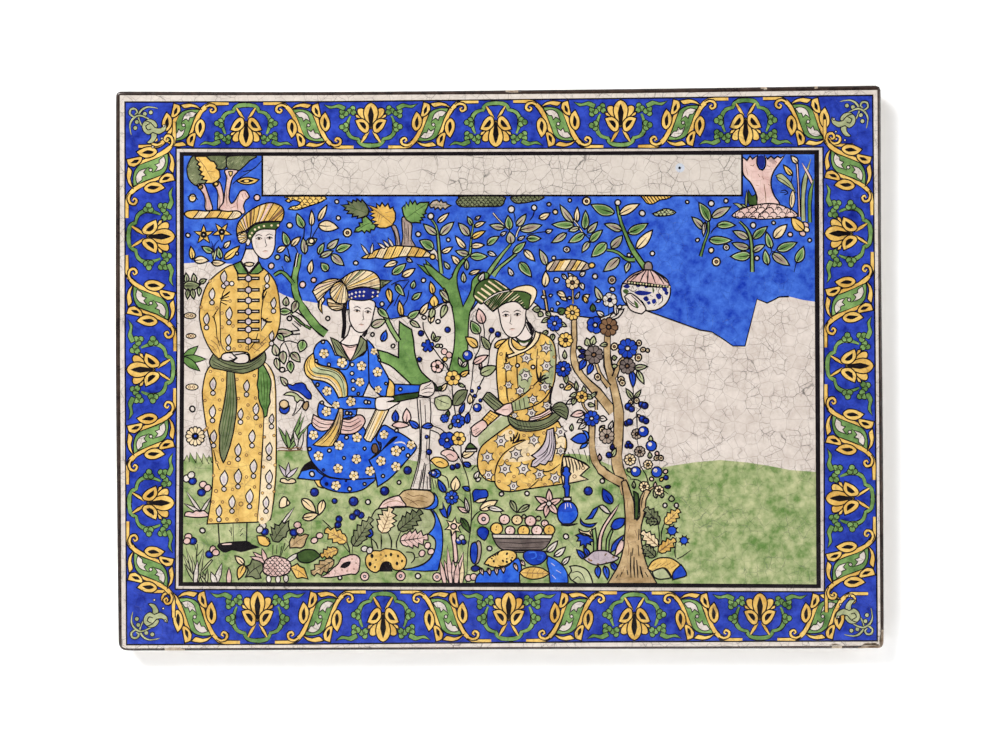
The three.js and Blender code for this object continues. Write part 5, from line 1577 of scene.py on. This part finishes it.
def drawJar():
    paintLayers(jarShapes)
    for k in range(15):
        spot = 629 + 282.4j + (40.4 + 4.4j) * k / 14
        lay("sage" if k % 2 else "cream", circle(spot, 1.1, 4))
    fill("skin", curve("624.6,296.4! 630,293.2 636.6,297 642.4,303 646,309.4 641.6,314! 634,312 629,308.4 626.6,302.4", closed=True), 1.4)
    strokes("626,297.5 632,303 637,305/627.6,301 633,306 638,308/631,295 637,300.6 641,305", 1)
    lay("darkGreen", curve("634,300.4 637.6,303.6 638.6,308 635.6,306.6", closed=True))


def drawBushes():
    drawPlant(rosebush)
    for centre, radius, count, paint, core in bushFlowers:
        petals(centre, radius, count, paint, core, chance.uniform(0, 90), 0.86, 0.22)
    for paint, text in bushBerries.items():
        pearls(text, paint)
    paintLayers(lowerRocks)
    rings("583,468:2 574.5,476.5:2.2", "cream")
    rock("583.6,558.6! 588,556 593,551.6 600,550.4 608,551.4 613,555 619,557.6 615,561 607,563.2 597,565.2 589,562.6", "mauve", 16, "brown")
    for base, tip, width, paint, teeth in (
        (659 + 524j, 645 + 508j, 13, "greyGreen", 4), (658 + 522j, 646 + 521j, 8, "greyGreen", 3), (658 + 546j, 641.5 + 531.5j, 12, "cream", 4),
        (655 + 557j, 643 + 546j, 11, "greyGreen", 4), (665 + 524j, 679.5 + 509.5j, 12, "ochre", 4), (658.5 + 552j, 675.5 + 539j, 12, "ochre", 4),
    ):
        serrated(base, tip, width, paint, teeth, "brown" if paint in ("cream", "ochre") else "line")
    for centre, radius in ((672 + 530.6j, 6.4), (684 + 540.4j, 5.4)):
        starFlower(centre, radius, "cobalt", 8, chance.uniform(0, 45), 0.66)
    strokes("572,449 577,460/578,449 581,459/584,449.6 588,462/589,455 590,464/568,452 571,458", 1.3)


def drawPicture():
    whole = curve(frames["field"], closed=True, step=40)
    lay("sky", grown(whole, 1))
    drawGround()
    drawSkyPlants()
    drawLeftPart()
    drawMiddlePart()
    drawRosePlants()
    drawBushes()
    drawAttendant()
    drawYouth()
    drawKneeling()
    drawBowl()
    drawJar()
    drawPanel()

# The slab
slab = {
    "sideDraft": 2.2,  # millimetres, how far each side slopes in towards the back
    "backEdge": 0.8,
    "arrisRadius": 1.7,
    "arrisStart": 1.6,  # where the soft edge starts, as a share of its radius
    "arrisSteps": 6,
    "edgeStep": 2.2,  # millimetres between points along the edge
    "bow": 0.04,  # how far each straight stretch of the edge bows out
    "sideRings": 4,
    "sideRoughness": 0.12,
    "glazeRun": 1.6,  # how far the glaze runs down the sides
    "unevenness": 0.16,  # slow waves in the painted face
    "backGrid": 24,
}
# losses along the front edge, in millimetres; along is a share of the side it is on
chips = [
    {"side": "top", "along": 0.517, "reach": 1.9, "length": 9, "depth": 3.2},
    {"side": "top", "along": 0.845, "reach": 2.2, "length": 4.2, "depth": 1.6},
    {"side": "top", "along": 0.912, "reach": 1.8, "length": 3, "depth": 1.4},
    {"side": "bottom", "along": 0.077, "reach": 2.6, "length": 13, "depth": 2.4},
    {"side": "bottom", "along": 0.937, "reach": 3.4, "length": 7, "depth": 2.6},
    {"side": "bottom", "along": 0.983, "reach": 3.6, "length": 15, "depth": 4.2},
    {"side": "right", "along": 0.018, "reach": 3.2, "length": 15, "depth": 4.2},
]
mm = 0.001
square = sheet["squareSize"]
thickness = -cadLow.y


def toSheet(x, z):
    return sheet["middle"] + x / square - 1j * z / square


def fromSheet(spot):
    local = (np.asarray(spot) - sheet["middle"]) * square
    return local.real, -local.imag


def backOutline():
    # the flat back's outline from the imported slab, with short steps, as places on the sheet
    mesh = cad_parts["tile"].data
    onBack = [v.co for v in mesh.vertices if abs(v.co.y) < 1e-6]
    row = sorted((toSheet(co.x, co.z) for co in onBack), key=lambda p: np.angle(p - sheet["middle"]))
    row = [p for k, p in enumerate(row) if abs(p - row[k - 1]) > 0.05]
    step = slab["edgeStep"] * mm / square
    loop = []
    for k, start in enumerate(row):
        end = row[(k + 1) % len(row)]
        bits = max(1, round(abs(end - start) / step))
        # a slight bow, so that no three points stand in one straight line
        bow = unit(end - start) * -1j * slab["bow"] * mm / square * 4
        loop += [start + (end - start) * t + bow * t * (1 - t) for t in (i / bits for i in range(bits))]
    return np.array(loop)


def pushed(loop, distance):
    # an outline moved outwards without drawing its corners out
    return loop - unit(np.roll(loop, -1) - np.roll(loop, 1)) * 1j * turnSign(loop) * distance


def edgeRings(loop):
    # the section of the edge from the back to the painted face: outline and depth of each ring
    full = (slab["sideDraft"] + slab["backEdge"]) * mm
    radius = slab["arrisRadius"] * mm
    rings = [(full, 0), (slab["sideDraft"] * mm, slab["backEdge"] * mm)]
    start, stop = slab["backEdge"] * mm, thickness - radius * slab["arrisStart"]
    for k in range(1, slab["sideRings"] + 1):
        share = k / slab["sideRings"]
        rings.append((slab["sideDraft"] * mm * (1 - share), start + (stop - start) * share))
    for k in range(slab["arrisSteps"] + 1):
        turn = k / slab["arrisSteps"] * math.pi / 2
        rings.append((radius * (1 - math.cos(turn)) + 0.05 * mm, thickness - radius * (1 - math.sin(turn))))
    return [(pushed(loop, (full - inset) / square), forward) for inset, forward in rings]


def chipPlaces(outline):
    # centre, half sizes along and across the side, for each chip, on the sheet
    left, right = outline.real.min(), outline.real.max()
    places = []
    for chip in chips:
        run = chip["length"] * mm / square / 2
        reach = chip["reach"] * mm / square
        if chip["side"] in ("top", "bottom"):
            x = left + (right - left) * chip["along"]
            near = outline[np.abs(outline.real - x) < 4]
            y = near.imag.min() if chip["side"] == "top" else near.imag.max()
            places.append((complex(x, y), run, reach, chip["depth"] * mm))
        else:
            low, high = outline.imag.max(), outline.imag.min()
            y = low + (high - low) * chip["along"]
            near = outline[np.abs(outline.imag - y) < 8]
            places.append((complex(near.real.max(), y), reach, run, chip["depth"] * mm))
    return places


def chipDepth(spot, places):
    # how deep the chips reach at a place on the sheet, with a broken, uneven floor
    deepest = 0
    for centre, half, tall, depth in places:
        u, v = (spot.real - centre.real) / half, (spot.imag - centre.imag) / tall
        if abs(u) > 1.4 or abs(v) > 1.4:
            continue
        rough = noise.noise(Vector((spot.real, spot.imag, 3)) * 0.45) * 0.35
        rough += noise.noise(Vector((spot.real, spot.imag, 7)) * 1.3) * 0.14
        inside = 1 - u * u - v * v + rough
        if inside > 0:
            deepest = max(deepest, depth * min(1, inside) ** 0.5)
    return deepest


def windingNumber(spots, loop):
    # how often a closed line goes round each place
    x, y = spots.real[:, None], spots.imag[:, None]
    a, b = loop[None, :], np.roll(loop, -1)[None, :]
    side = (b.real - a.real) * (y - a.imag) - (x - a.real) * (b.imag - a.imag)
    up = (a.imag <= y) & (b.imag > y) & (side > 0)
    down = (a.imag > y) & (b.imag <= y) & (side < 0)
    return up.sum(1) - down.sum(1)


def inside(spots, loop):
    found = np.zeros(len(spots), bool)
    for k in range(0, len(spots), 20000):
        found[k:k + 20000] = windingNumber(spots[k:k + 20000], loop) != 0
    return found


def topShapes(spots):
    # the number of the uppermost shape over each place, -1 where there is none
    order = np.argsort(spots.real)
    ranked = spots[order]
    top = np.full(len(spots), -1)
    free = np.ones(len(spots), bool)
    clipped = {}
    for number in range(len(shapes) - 1, -1, -1):
        loop, clip = shapes[number]["loop"], shapes[number]["clip"]
        start, stop = np.searchsorted(ranked.real, (loop.real.min(), loop.real.max()))
        near = np.arange(start, stop)
        near = near[free[start:stop]]
        high = ranked[near].imag
        near = near[(high >= loop.imag.min()) & (high <= loop.imag.max())]
        if clip is not None and len(near):
            if id(clip) not in clipped:
                clipped[id(clip)] = inside(ranked, clip)
            near = near[clipped[id(clip)][near]]
        if len(near):
            near = near[inside(ranked[near], loop)]
            top[near] = number
            free[near] = False
    result = np.empty(len(spots), int)
    result[order] = top
    return result


def partition(edgeLoop, extra):
    # cuts the flat face along every painted outline that shows
    loops = [edgeLoop] + [s["loop"] for s in shapes] + [c for c in {id(c): c for c in clips}.values()]
    spots = np.concatenate(loops + [extra])
    edges, start = [], 0
    for loop in loops:
        numbers = np.arange(start, start + len(loop))
        edges.append(np.stack([numbers, np.roll(numbers, -1)], 1))
        start += len(loop)
    edges = np.concatenate(edges)
    for turn in range(2):
        made = geometry.delaunay_2d_cdt(
            [Vector((p.real, p.imag)) for p in spots], edges.tolist(), [], 1, 1e-4, False
        )
        spots = np.array([complex(v.x, v.y) for v in made[0]])
        triangles = np.array([f for f in made[2] if len(f) == 3])
        centres = spots[triangles].mean(1)
        onTile = inside(centres, edgeLoop)
        triangles, centres = triangles[onTile], centres[onTile]
        top = topShapes(centres)
        if turn == 0:
            # the second cut leaves out the outlines that other shapes cover
            plain = np.array([-2 if s["paint"] == "line" else k for k, s in enumerate(shapes)] + [-1])
            paint = plain[top]
            pairs = np.sort(np.concatenate([triangles[:, [0, 1]], triangles[:, [1, 2]], triangles[:, [2, 0]]]), axis=1)
            owner = np.tile(paint, 3)
            order = np.lexsort((pairs[:, 1], pairs[:, 0]))
            pairs, owner = pairs[order], owner[order]
            same = (pairs[1:] == pairs[:-1]).all(1)
            differs = np.ones(len(pairs), bool)
            differs[1:][same] = owner[1:][same] != owner[:-1][same]
            differs[:-1][same] = False
            kept = pairs[differs]
            used, edges = np.unique(kept, return_inverse=True)
            edges = edges.reshape(-1, 2)
            spots = np.concatenate([spots[used], extra])
    print("painted face:", len(spots), "points,", len(triangles), "triangles")
    return spots, triangles, top


def nearest(spots, wanted):
    # the number of the spot nearest to each wanted place
    tree = kdtree.KDTree(len(spots))
    for k, p in enumerate(spots):
        tree.insert((p.real, p.imag, 0), k)
    tree.balance()
    return [tree.find((p.real, p.imag, 0))[1] for p in wanted]


def buildTile(materials):
    back = backOutline()
    rings = edgeRings(back)
    flatEdge = rings[-1][0]
    places = chipPlaces(rings[slab["sideRings"] + 1][0])
    # points for the chips' floors and for the waves of the face
    extra = []
    for centre, half, tall, depth in places:
        for dx in np.arange(-half * 1.3, half * 1.3, 1.1):
            for dy in np.arange(-tall * 1.3, tall * 1.3, 1.1):
                jitter = complex(chance.uniform(-0.35, 0.35), chance.uniform(-0.35, 0.35))
                extra.append(centre + complex(dx, dy) + jitter)
    extra = np.array(extra)
    extra = extra[inside(extra, grown(flatEdge, -0.7))]
    spots, triangles, top = partition(flatEdge, extra)

    # the flat face, then one row of points for each ring behind it
    rim = nearest(spots, flatEdge)
    count = len(flatEdge)
    sheetSpots = [spots]
    depths = [np.full(len(spots), thickness)]
    rows = []
    start = len(spots)
    for number, (loop, forward) in enumerate(rings[:-1]):
        rows.append(np.arange(start, start + count))
        start += count
        rough = np.zeros(count)
        if 0 < number <= slab["sideRings"]:
            rough = np.array([noise.noise(Vector((p.real, p.imag, forward * 900)) * 0.21) for p in loop])
        sheetSpots.append(loop + unit(loop - sheet["middle"]) * rough * slab["sideRoughness"] * mm / square)
        depths.append(np.full(count, forward))
    rows.append(np.array(rim))
    # the back
    low, high = back.real.min() + 1j * back.imag.min(), back.real.max() + 1j * back.imag.max()
    gap = slab["backGrid"] * mm / square
    grid = np.array([complex(x, y) for x in np.arange(low.real, high.real, gap) for y in np.arange(low.imag, high.imag, gap)])
    grid = grid[inside(grid, grown(back, -gap * 0.4))]
    backSpots = np.concatenate([back, grid])
    ringEdges = [(k, (k + 1) % count) for k in range(count)]
    made = geometry.delaunay_2d_cdt([Vector((p.real, p.imag)) for p in backSpots], ringEdges, [], 1, 1e-4, True)
    sheetSpots.append(grid)
    depths.append(np.zeros(len(grid)))
    numbering = np.concatenate([rows[0], np.arange(start, start + len(grid))])
    source = np.array([ids[0] for ids in made[3]])
    backFaces = numbering[source[np.array(made[2])]]
    backFaces = backFaces[inside(np.concatenate(sheetSpots)[backFaces].mean(1), back)]

    flat = np.concatenate(sheetSpots)
    depth = np.concatenate(depths)
    x, z = fromSheet(flat)
    y = -depth
    for k in range(len(flat)):
        if depth[k] > thickness * 0.6:
            wave = noise.noise(Vector((flat[k].real, flat[k].imag, 0)) * 0.018)
            wave += 0.4 * noise.noise(Vector((flat[k].real, flat[k].imag, 5)) * 0.06)
            y[k] += (wave - 0.6) * slab["unevenness"] * mm * 0.5 * (depth[k] > thickness - slab["arrisRadius"] * mm)
            cut = chipDepth(flat[k], places)
            if cut:
                floor = -(thickness - cut)
                y[k] = max(y[k], floor + (thickness - depth[k]) * 0.15)
    sides = []
    for lower, upper in zip(rows[:-1], rows[1:]):
        after = np.roll(lower, -1), np.roll(upper, -1)
        sides.append(np.stack([lower, after[0], after[1], upper], 1))
    places3d = np.stack([x, y, z], 1)
    return spots, triangles, top, rows, sides, backFaces, places3d, places


def finishTile(materials):
    spots, triangles, top, rows, sides, backFaces, points3d, places = buildTile(materials)
    names = list(materials)
    faces, paints, numbers = [], [], []
    # seen from the front, sheet y runs down, so the order of a face's points is turned where needed
    for face, number in zip(triangles.tolist(), top.tolist()):
        faces.append(face)
        paints.append(shapes[number]["paint"] if number >= 0 else "edge")
        numbers.append(number)
    for ring, quads in enumerate(sides):
        for quad in quads.tolist():
            faces.append(quad)
            paints.append("edge" if ring >= slab["sideRings"] else "body")
            numbers.append(-1)
    for face in backFaces.tolist():
        faces.append(face)
        paints.append("body")
        numbers.append(-1)
    mesh = bpy.data.meshes.new("glazed_tile")
    mesh.from_pydata(points3d.tolist(), [], faces)
    for name in names:
        mesh.materials.append(materials[name])
    slots = {name: k for k, name in enumerate(names)}
    middle = np.array([points3d[f].mean(0) for f in faces])
    chipped = toSheet(middle[:, 0], middle[:, 2])
    for k in range(len(faces)):
        if middle[k, 1] < -0.5 * thickness and chipDepth(chipped[k], places) > 0.25 * mm:
            paints[k] = "chip"
    mesh.polygons.foreach_set("material_index", [slots[paint] for paint in paints])

    # turn every face outwards
    import bmesh
    work = bmesh.new()
    work.from_mesh(mesh)
    bmesh.ops.recalc_face_normals(work, faces=work.faces)
    work.to_mesh(mesh)
    work.free()
    mesh.polygons.foreach_set("use_smooth", [True] * len(faces))
    mesh.set_sharp_from_angle(angle=math.radians(38))

    # the place of each face's corners in its own shape, for shading inside it
    corners = np.empty(len(mesh.loops), int)
    mesh.loops.foreach_get("vertex_index", corners)
    faceOf = np.repeat(np.arange(len(faces)), [len(f) for f in faces])
    flat = toSheet(points3d[:, 0], points3d[:, 2])
    number = np.array(numbers)[faceOf]
    starts = np.array([s["along"][0] for s in shapes] + [118 + 650j])
    ends = np.array([s["along"][1] for s in shapes] + [882 + 88j])
    seeds = np.array([s["seed"] for s in shapes] + [0.5])
    local = (flat[corners] - starts[number]) / (ends[number] - starts[number])
    place = mesh.attributes.new("place", "FLOAT_VECTOR", "CORNER")
    place.data.foreach_set("vector", np.stack([local.real, local.imag, seeds[number]], 1).astype(np.float32).ravel())

    # where the tile's skin lies on one square map: the face below, the sides and the back above it
    width = cadHigh.x - cadLow.x
    spot = points3d[corners]
    u = 0.005 + (spot[:, 0] - cadLow.x) / width * 0.99
    v = 0.005 + (spot[:, 2] - cadLow.z) / width * 0.99
    normal = np.empty(len(faces) * 3)
    mesh.polygons.foreach_get("normal", normal)
    normal = normal.reshape(-1, 3)[faceOf]
    mid = middle[faceOf]
    isBack = normal[:, 1] > 0.9
    isSide = (np.abs(normal[:, 1]) < 0.55) & ~isBack
    backScale = 0.48
    u[isBack] = 0.01 + (cadHigh.x - spot[isBack, 0]) / width * 0.24
    v[isBack] = 0.815 + (spot[isBack, 2] - cadLow.z) / width * 0.24
    upright = np.abs(normal[:, 0]) > np.abs(normal[:, 2])
    for k, chosen in enumerate((isSide & upright & (mid[:, 0] > 0), isSide & upright & (mid[:, 0] < 0),
                                isSide & ~upright & (mid[:, 2] > 0), isSide & ~upright & (mid[:, 2] < 0))):
        run = spot[chosen, 2] - cadLow.z if k < 2 else spot[chosen, 0] - cadLow.x
        u[chosen] = 0.01 + run / width * backScale + 0.5 * (k % 2)
        v[chosen] = 0.75 + 0.03 * (k // 2) - spot[chosen, 1] / width * backScale
    layer = mesh.uv_layers.new(name="OFBake")
    layer.data.foreach_set("uv", np.stack([u, v], 1).astype(np.float32).ravel())
    tile = bpy.data.objects.new("glazed_tile", mesh)
    bpy.context.scene.collection.objects.link(tile)
    return tile


# Glazes
class Wire:
    # one socket of a shader, so that sums on it can be written as sums
    def __init__(self, tree, socket=None):
        self.tree, self.socket = tree, socket

    def node(self, kind, settings=None, inputs=None, output=0):
        made = self.tree.nodes.new("ShaderNode" + kind)
        for key, value in (settings or {}).items():
            setattr(made, key, value)
        for key, value in (inputs or {}).items():
            if isinstance(value, Wire):
                self.tree.links.new(value.socket, made.inputs[key])
            else:
                made.inputs[key].default_value = value
        return Wire(self.tree, made.outputs[output])

    def maths(self, operation, *values):
        return self.node("Math", {"operation": operation}, dict(enumerate(values)))

    def __add__(self, other):
        return self.maths("ADD", self, other)

    def __radd__(self, other):
        return self.maths("ADD", other, self)

    def __sub__(self, other):
        return self.maths("SUBTRACT", self, other)

    def __rsub__(self, other):
        return self.maths("SUBTRACT", other, self)

    def __mul__(self, other):
        return self.maths("MULTIPLY", self, other)

    def __rmul__(self, other):
        return self.maths("MULTIPLY", other, self)

    def clamped(self):
        return self.node("Clamp", None, {"Value": self})

    def between(self, low, high):
        # 0 below low, 1 above high, smooth in the middle
        settings = {"interpolation_type": "SMOOTHSTEP"}
        return self.node("MapRange", settings, {"Value": self, "From Min": low, "From Max": high})

    def blend(self, first, second):
        # from the first colour to the second as this value goes from 0 to 1
        return self.node("Mix", {"data_type": "RGBA"}, {0: self, 6: first, 7: second}, output=2)


studioLight = 1.3  # how much light falls on the tile; the glazes' colours are as seen under it


def seen(red, green, blue):
    # a colour as it shows on the screen, from 0 to 255, as what the glaze reflects
    parts = []
    for part in (red, green, blue):
        share = part / 255
        share = share / 12.92 if share <= 0.04045 else ((share + 0.055) / 1.055) ** 2.4
        parts.append(share / studioLight)
    return (*parts, 1)


# for each paint: its dark and light colour as seen, how patchy it is, and how much the crackle shows
glazes = {
    "line": {"dark": (14, 11, 15), "light": (30, 25, 28), "patches": 0.7, "crackle": 0.25},
    "edge": {"dark": (20, 15, 16), "light": (72, 56, 48), "patches": 0.9, "crackle": 0.3},
    "white": {"dark": (190, 178, 168), "light": (222, 212, 202), "patches": 0.8, "crackle": 0.75},
    "panel": {"dark": (190, 179, 169), "light": (214, 204, 194), "patches": 0.7, "crackle": 0.9},
    "ground": {"dark": (186, 172, 162), "light": (220, 209, 200), "patches": 0.8, "crackle": 0.75},
    "sky": {"dark": (24, 50, 160), "light": (72, 118, 214), "patches": 1.1, "crackle": 0.35},
    "border": {"dark": (14, 24, 112), "light": (52, 76, 186), "patches": 1.1, "crackle": 0.3},
    "navy": {"dark": (12, 16, 70), "light": (32, 44, 130), "patches": 1, "crackle": 0.3},
    "cobalt": {"dark": (12, 34, 138), "light": (44, 84, 196), "patches": 1, "crackle": 0.3},
    "robeBlue": {"dark": (18, 58, 176), "light": (62, 118, 220), "patches": 1, "crackle": 0.3},
    "yellow": {"dark": (196, 148, 66), "light": (238, 202, 118), "patches": 0.9, "crackle": 0.5},
    "ochre": {"dark": (186, 142, 68), "light": (232, 196, 116), "patches": 1, "crackle": 0.55},
    "cream": {"dark": (208, 182, 142), "light": (236, 216, 180), "patches": 0.8, "crackle": 0.55},
    "green": {"dark": (66, 100, 48), "light": (126, 160, 92), "patches": 1.1, "crackle": 0.4},
    "leafGreen": {"dark": (72, 108, 56), "light": (134, 168, 100), "patches": 1.1, "crackle": 0.4},
    "darkGreen": {"dark": (40, 60, 28), "light": (76, 100, 52), "patches": 1, "crackle": 0.3},
    "greyGreen": {"dark": (82, 90, 62), "light": (130, 134, 100), "patches": 1, "crackle": 0.4},
    "stem": {"dark": (88, 120, 66), "light": (146, 168, 110), "patches": 1, "crackle": 0.3},
    "grass": {"dark": (96, 128, 66), "light": (184, 186, 140), "patches": 1.3, "crackle": 0.55},
    "sage": {"dark": (132, 140, 98), "light": (190, 192, 152), "patches": 1, "crackle": 0.4},
    "trunk": {"dark": (150, 122, 84), "light": (214, 186, 142), "patches": 1.1, "crackle": 0.45},
    "leafTaupe": {"dark": (124, 106, 96), "light": (186, 168, 150), "patches": 1.1, "crackle": 0.4},
    "taupe": {"dark": (116, 98, 92), "light": (178, 158, 146), "patches": 1.1, "crackle": 0.4},
    "leafCream": {"dark": (204, 174, 126), "light": (240, 218, 176), "patches": 1, "crackle": 0.4},
    "pink": {"dark": (196, 156, 148), "light": (230, 202, 192), "patches": 1, "crackle": 0.5},
    "skin": {"dark": (204, 188, 178), "light": (226, 214, 206), "patches": 0.5, "crackle": 0.3},
    "leafRim": {"dark": (150, 164, 118), "light": (194, 200, 164), "patches": 0.8, "crackle": 0.35},
    "halo": {"dark": (178, 184, 196), "light": (202, 208, 218), "patches": 0.6, "crackle": 0.5},
    "brown": {"dark": (88, 62, 44), "light": (148, 112, 80), "patches": 1, "crackle": 0.3},
    "mauve": {"dark": (168, 152, 160), "light": (206, 194, 198), "patches": 0.8, "crackle": 0.4},
    "ash": {"dark": (70, 60, 58), "light": (124, 110, 104), "patches": 1, "crackle": 0.4},
    "chip": {"dark": (120, 96, 74), "light": (206, 190, 168), "patches": 1.6, "crackle": 0},
    "body": {"dark": (176, 160, 138), "light": (214, 202, 184), "patches": 1.2, "crackle": 0},
}
crackle = {
    "cell": 8.5, "fineCell": 4.2,  # millimetres
    "width": 0.22, "wander": 2.2,
    "darkens": 0.52,  # how much of the glaze's colour is left in a crack
}


def glaze(name, look):
    material = bpy.data.materials.new(name + "_glaze" if look["crackle"] else name)
    material.use_nodes = True
    tree = material.node_tree
    shader = tree.nodes["Principled BSDF"]
    start = Wire(tree)

    def feeds(wire, socket):
        tree.links.new(wire.socket, shader.inputs[socket])

    coordinates = start.node("TexCoord", output=3)
    spot = start.node("VectorMath", {"operation": "SCALE"}, {0: coordinates, "Scale": 1 / mm})
    seed = start.node("SeparateXYZ", None, {0: start.node("Attribute", {"attribute_name": "place"}, output=1)}, output=2)

    def mottle(size, detail=3):
        return start.node("TexNoise", None, {"Vector": spot, "Scale": 1 / size, "Detail": detail})

    broad, middle, fine = mottle(22), mottle(5.5), mottle(1.3, 2)
    tone = 0.5 + (broad - 0.5) * (0.9 * look["patches"]) + (middle - 0.5) * (1.3 * look["patches"])
    tone = tone + (fine - 0.5) * 0.5 + (seed - 0.5) * look.get("varies", 0.35)
    colour = tone.clamped().blend(seen(*look["dark"]), seen(*look["light"]))
    rough = 0.16 + (middle - 0.5) * 0.12
    relief = fine * 0.25 + middle * 0.5
    if look["crackle"]:
        wander = start.node("TexNoise", None, {"Vector": spot, "Scale": 1 / 6, "Detail": 2}, output=1)
        shift = start.node("VectorMath", {"operation": "SCALE"}, {0: wander, "Scale": crackle["wander"]})
        bent = start.node("VectorMath", {"operation": "ADD"}, {0: spot, 1: shift})

        def cracks(cell, width):
            settings = {"feature": "DISTANCE_TO_EDGE"}
            gap = start.node("TexVoronoi", settings, {"Vector": bent, "Scale": 1 / cell, "Randomness": 0.9})
            return 1 - (gap * cell).between(width * 0.35, width)

        faint = mottle(14, 1).between(0.35, 0.62)
        net = (cracks(crackle["cell"], crackle["width"]) + cracks(crackle["fineCell"], crackle["width"]) * faint * 0.5)
        net = (net * look["crackle"] * (0.35 + faint * 0.65)).clamped()
        dark = seen(*(part * crackle["darkens"] for part in look["dark"]))
        colour = net.blend(colour, dark)
        rough = rough + net * 0.3
        relief = relief - net * 0.6
    else:
        rough = 0.82 + (middle - 0.5) * 0.1
        relief = relief * 3
    feeds(colour, "Base Color")
    feeds(rough, "Roughness")
    bump = start.node("Bump", None, {"Height": relief, "Strength": 0.25, "Distance": 0.12 * mm})
    feeds(bump, "Normal")
    shader.inputs["IOR"].default_value = 1.5
    return material


def areaLight(name, place, aim, size, power):
    light = bpy.data.lights.new(name, "AREA")
    light.shape, light.size, light.energy = "DISK", size, power
    lamp = bpy.data.objects.new(name, light)
    lamp.location = place
    lamp.rotation_euler = (Vector(aim) - Vector(place)).to_track_quat("-Z", "Y").to_euler()
    lamp.visible_camera = False
    bpy.context.scene.collection.objects.link(lamp)
    return lamp


def plane(name, corners):
    mesh = bpy.data.meshes.new(name)
    mesh.from_pydata(corners, [], [(0, 1, 2, 3)])
    piece = bpy.data.objects.new(name, mesh)
    bpy.context.scene.collection.objects.link(piece)
    return piece


studio = {
    "wallGap": 0.0004, "wallReach": 3.2, "floorDrop": 0.55, "pale": 0.93,
    "keyPlace": (-1.2, -2.0, 1.35), "keySize": 1.2, "keyPower": 76,
    "fillPlace": (1.9, -1.7, 0.5), "fillSize": 1.2, "fillPower": 14,
    "backPlace": (0.9, 2.2, 1.3), "backPower": 40,
    "worldGlow": 0.45, "darkCone": (0.86, 0.985),
}


def setUpStudio():
    pale = bpy.data.materials.new("pale_paper")
    pale.use_nodes = True
    shader = pale.node_tree.nodes["Principled BSDF"]
    shader.inputs["Base Color"].default_value = (studio["pale"],) * 3 + (1,)
    shader.inputs["Roughness"].default_value = 1
    shader.inputs["Specular IOR Level"].default_value = 0
    # the wall is see-through from behind, so that the tile's back can be looked at
    card = pale.copy()
    card.name = "wall_paper"
    tree = card.node_tree
    start = Wire(tree)
    facing = start.node("NewGeometry", output=6)
    clear = start.node("BsdfTransparent")
    paper = Wire(tree, tree.nodes["Principled BSDF"].outputs[0])
    mixed = start.node("MixShader", None, {0: facing, 1: paper, 2: clear})
    tree.links.new(mixed.socket, tree.nodes["Material Output"].inputs["Surface"])
    far, drop, gap = studio["wallReach"], studio["floorDrop"], studio["wallGap"]
    wall = plane("wall", [(-far, gap, -drop), (far, gap, -drop), (far, gap, far), (-far, gap, far)])
    wall.data.materials.append(card)
    wall.visible_shadow = False
    floor = plane("floor", [(-far, -far, -drop), (far, -far, -drop), (far, far, -drop), (-far, far, -drop)])
    floor.data.materials.append(pale)
    areaLight("key_light", studio["keyPlace"], (0, 0, 0), studio["keySize"], studio["keyPower"])
    areaLight("fill_light", studio["fillPlace"], (0, 0, 0), studio["fillSize"], studio["fillPower"])
    areaLight("back_light", studio["backPlace"], (0, 0, 0), studio["fillSize"], studio["backPower"])

    world = bpy.data.worlds.new("studio")
    bpy.context.scene.world = world
    world.use_nodes = True
    tree = world.node_tree
    start = Wire(tree)
    towards = start.node("VectorMath", {"operation": "DOT_PRODUCT"},
                         {0: start.node("TexCoord", output=0), 1: (0, -1, 0)}, output=1)
    glow = (1 - towards.between(*studio["darkCone"])) * studio["worldGlow"]
    straight = start.node("LightPath", output=0)
    glow = glow + straight * (0.9 - glow)
    background = tree.nodes["Background"]
    background.inputs["Color"].default_value = (1, 1, 1, 1)
    tree.links.new(glow.socket, background.inputs["Strength"])

    bpy.context.scene.view_settings.view_transform = "Standard"
    camera = bpy.data.cameras.new("camera")
    camera.sensor_width = 36
    distance = 2.4
    camera.lens = camera.sensor_width * distance / (1000 * square)
    view = bpy.data.objects.new("camera", camera)
    x, z = fromSheet(complex(500, 365.5))
    view.location = (float(x), -thickness - distance, float(z))
    view.rotation_euler = (math.pi / 2, 0, 0)
    bpy.context.scene.collection.objects.link(view)
    bpy.context.scene.camera = view


print("drawing the picture")
outerLoop = grown(backOutline(), (slab["sideDraft"] + slab["backEdge"]) * mm / square)
drawPicture()
drawBorder()
print("painted shapes:", len(shapes))
materials = {name: glaze(name, look) for name, look in glazes.items()}
tile = finishTile(materials)
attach(tile, "root")
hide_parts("tile")
setUpStudio()
print("done")
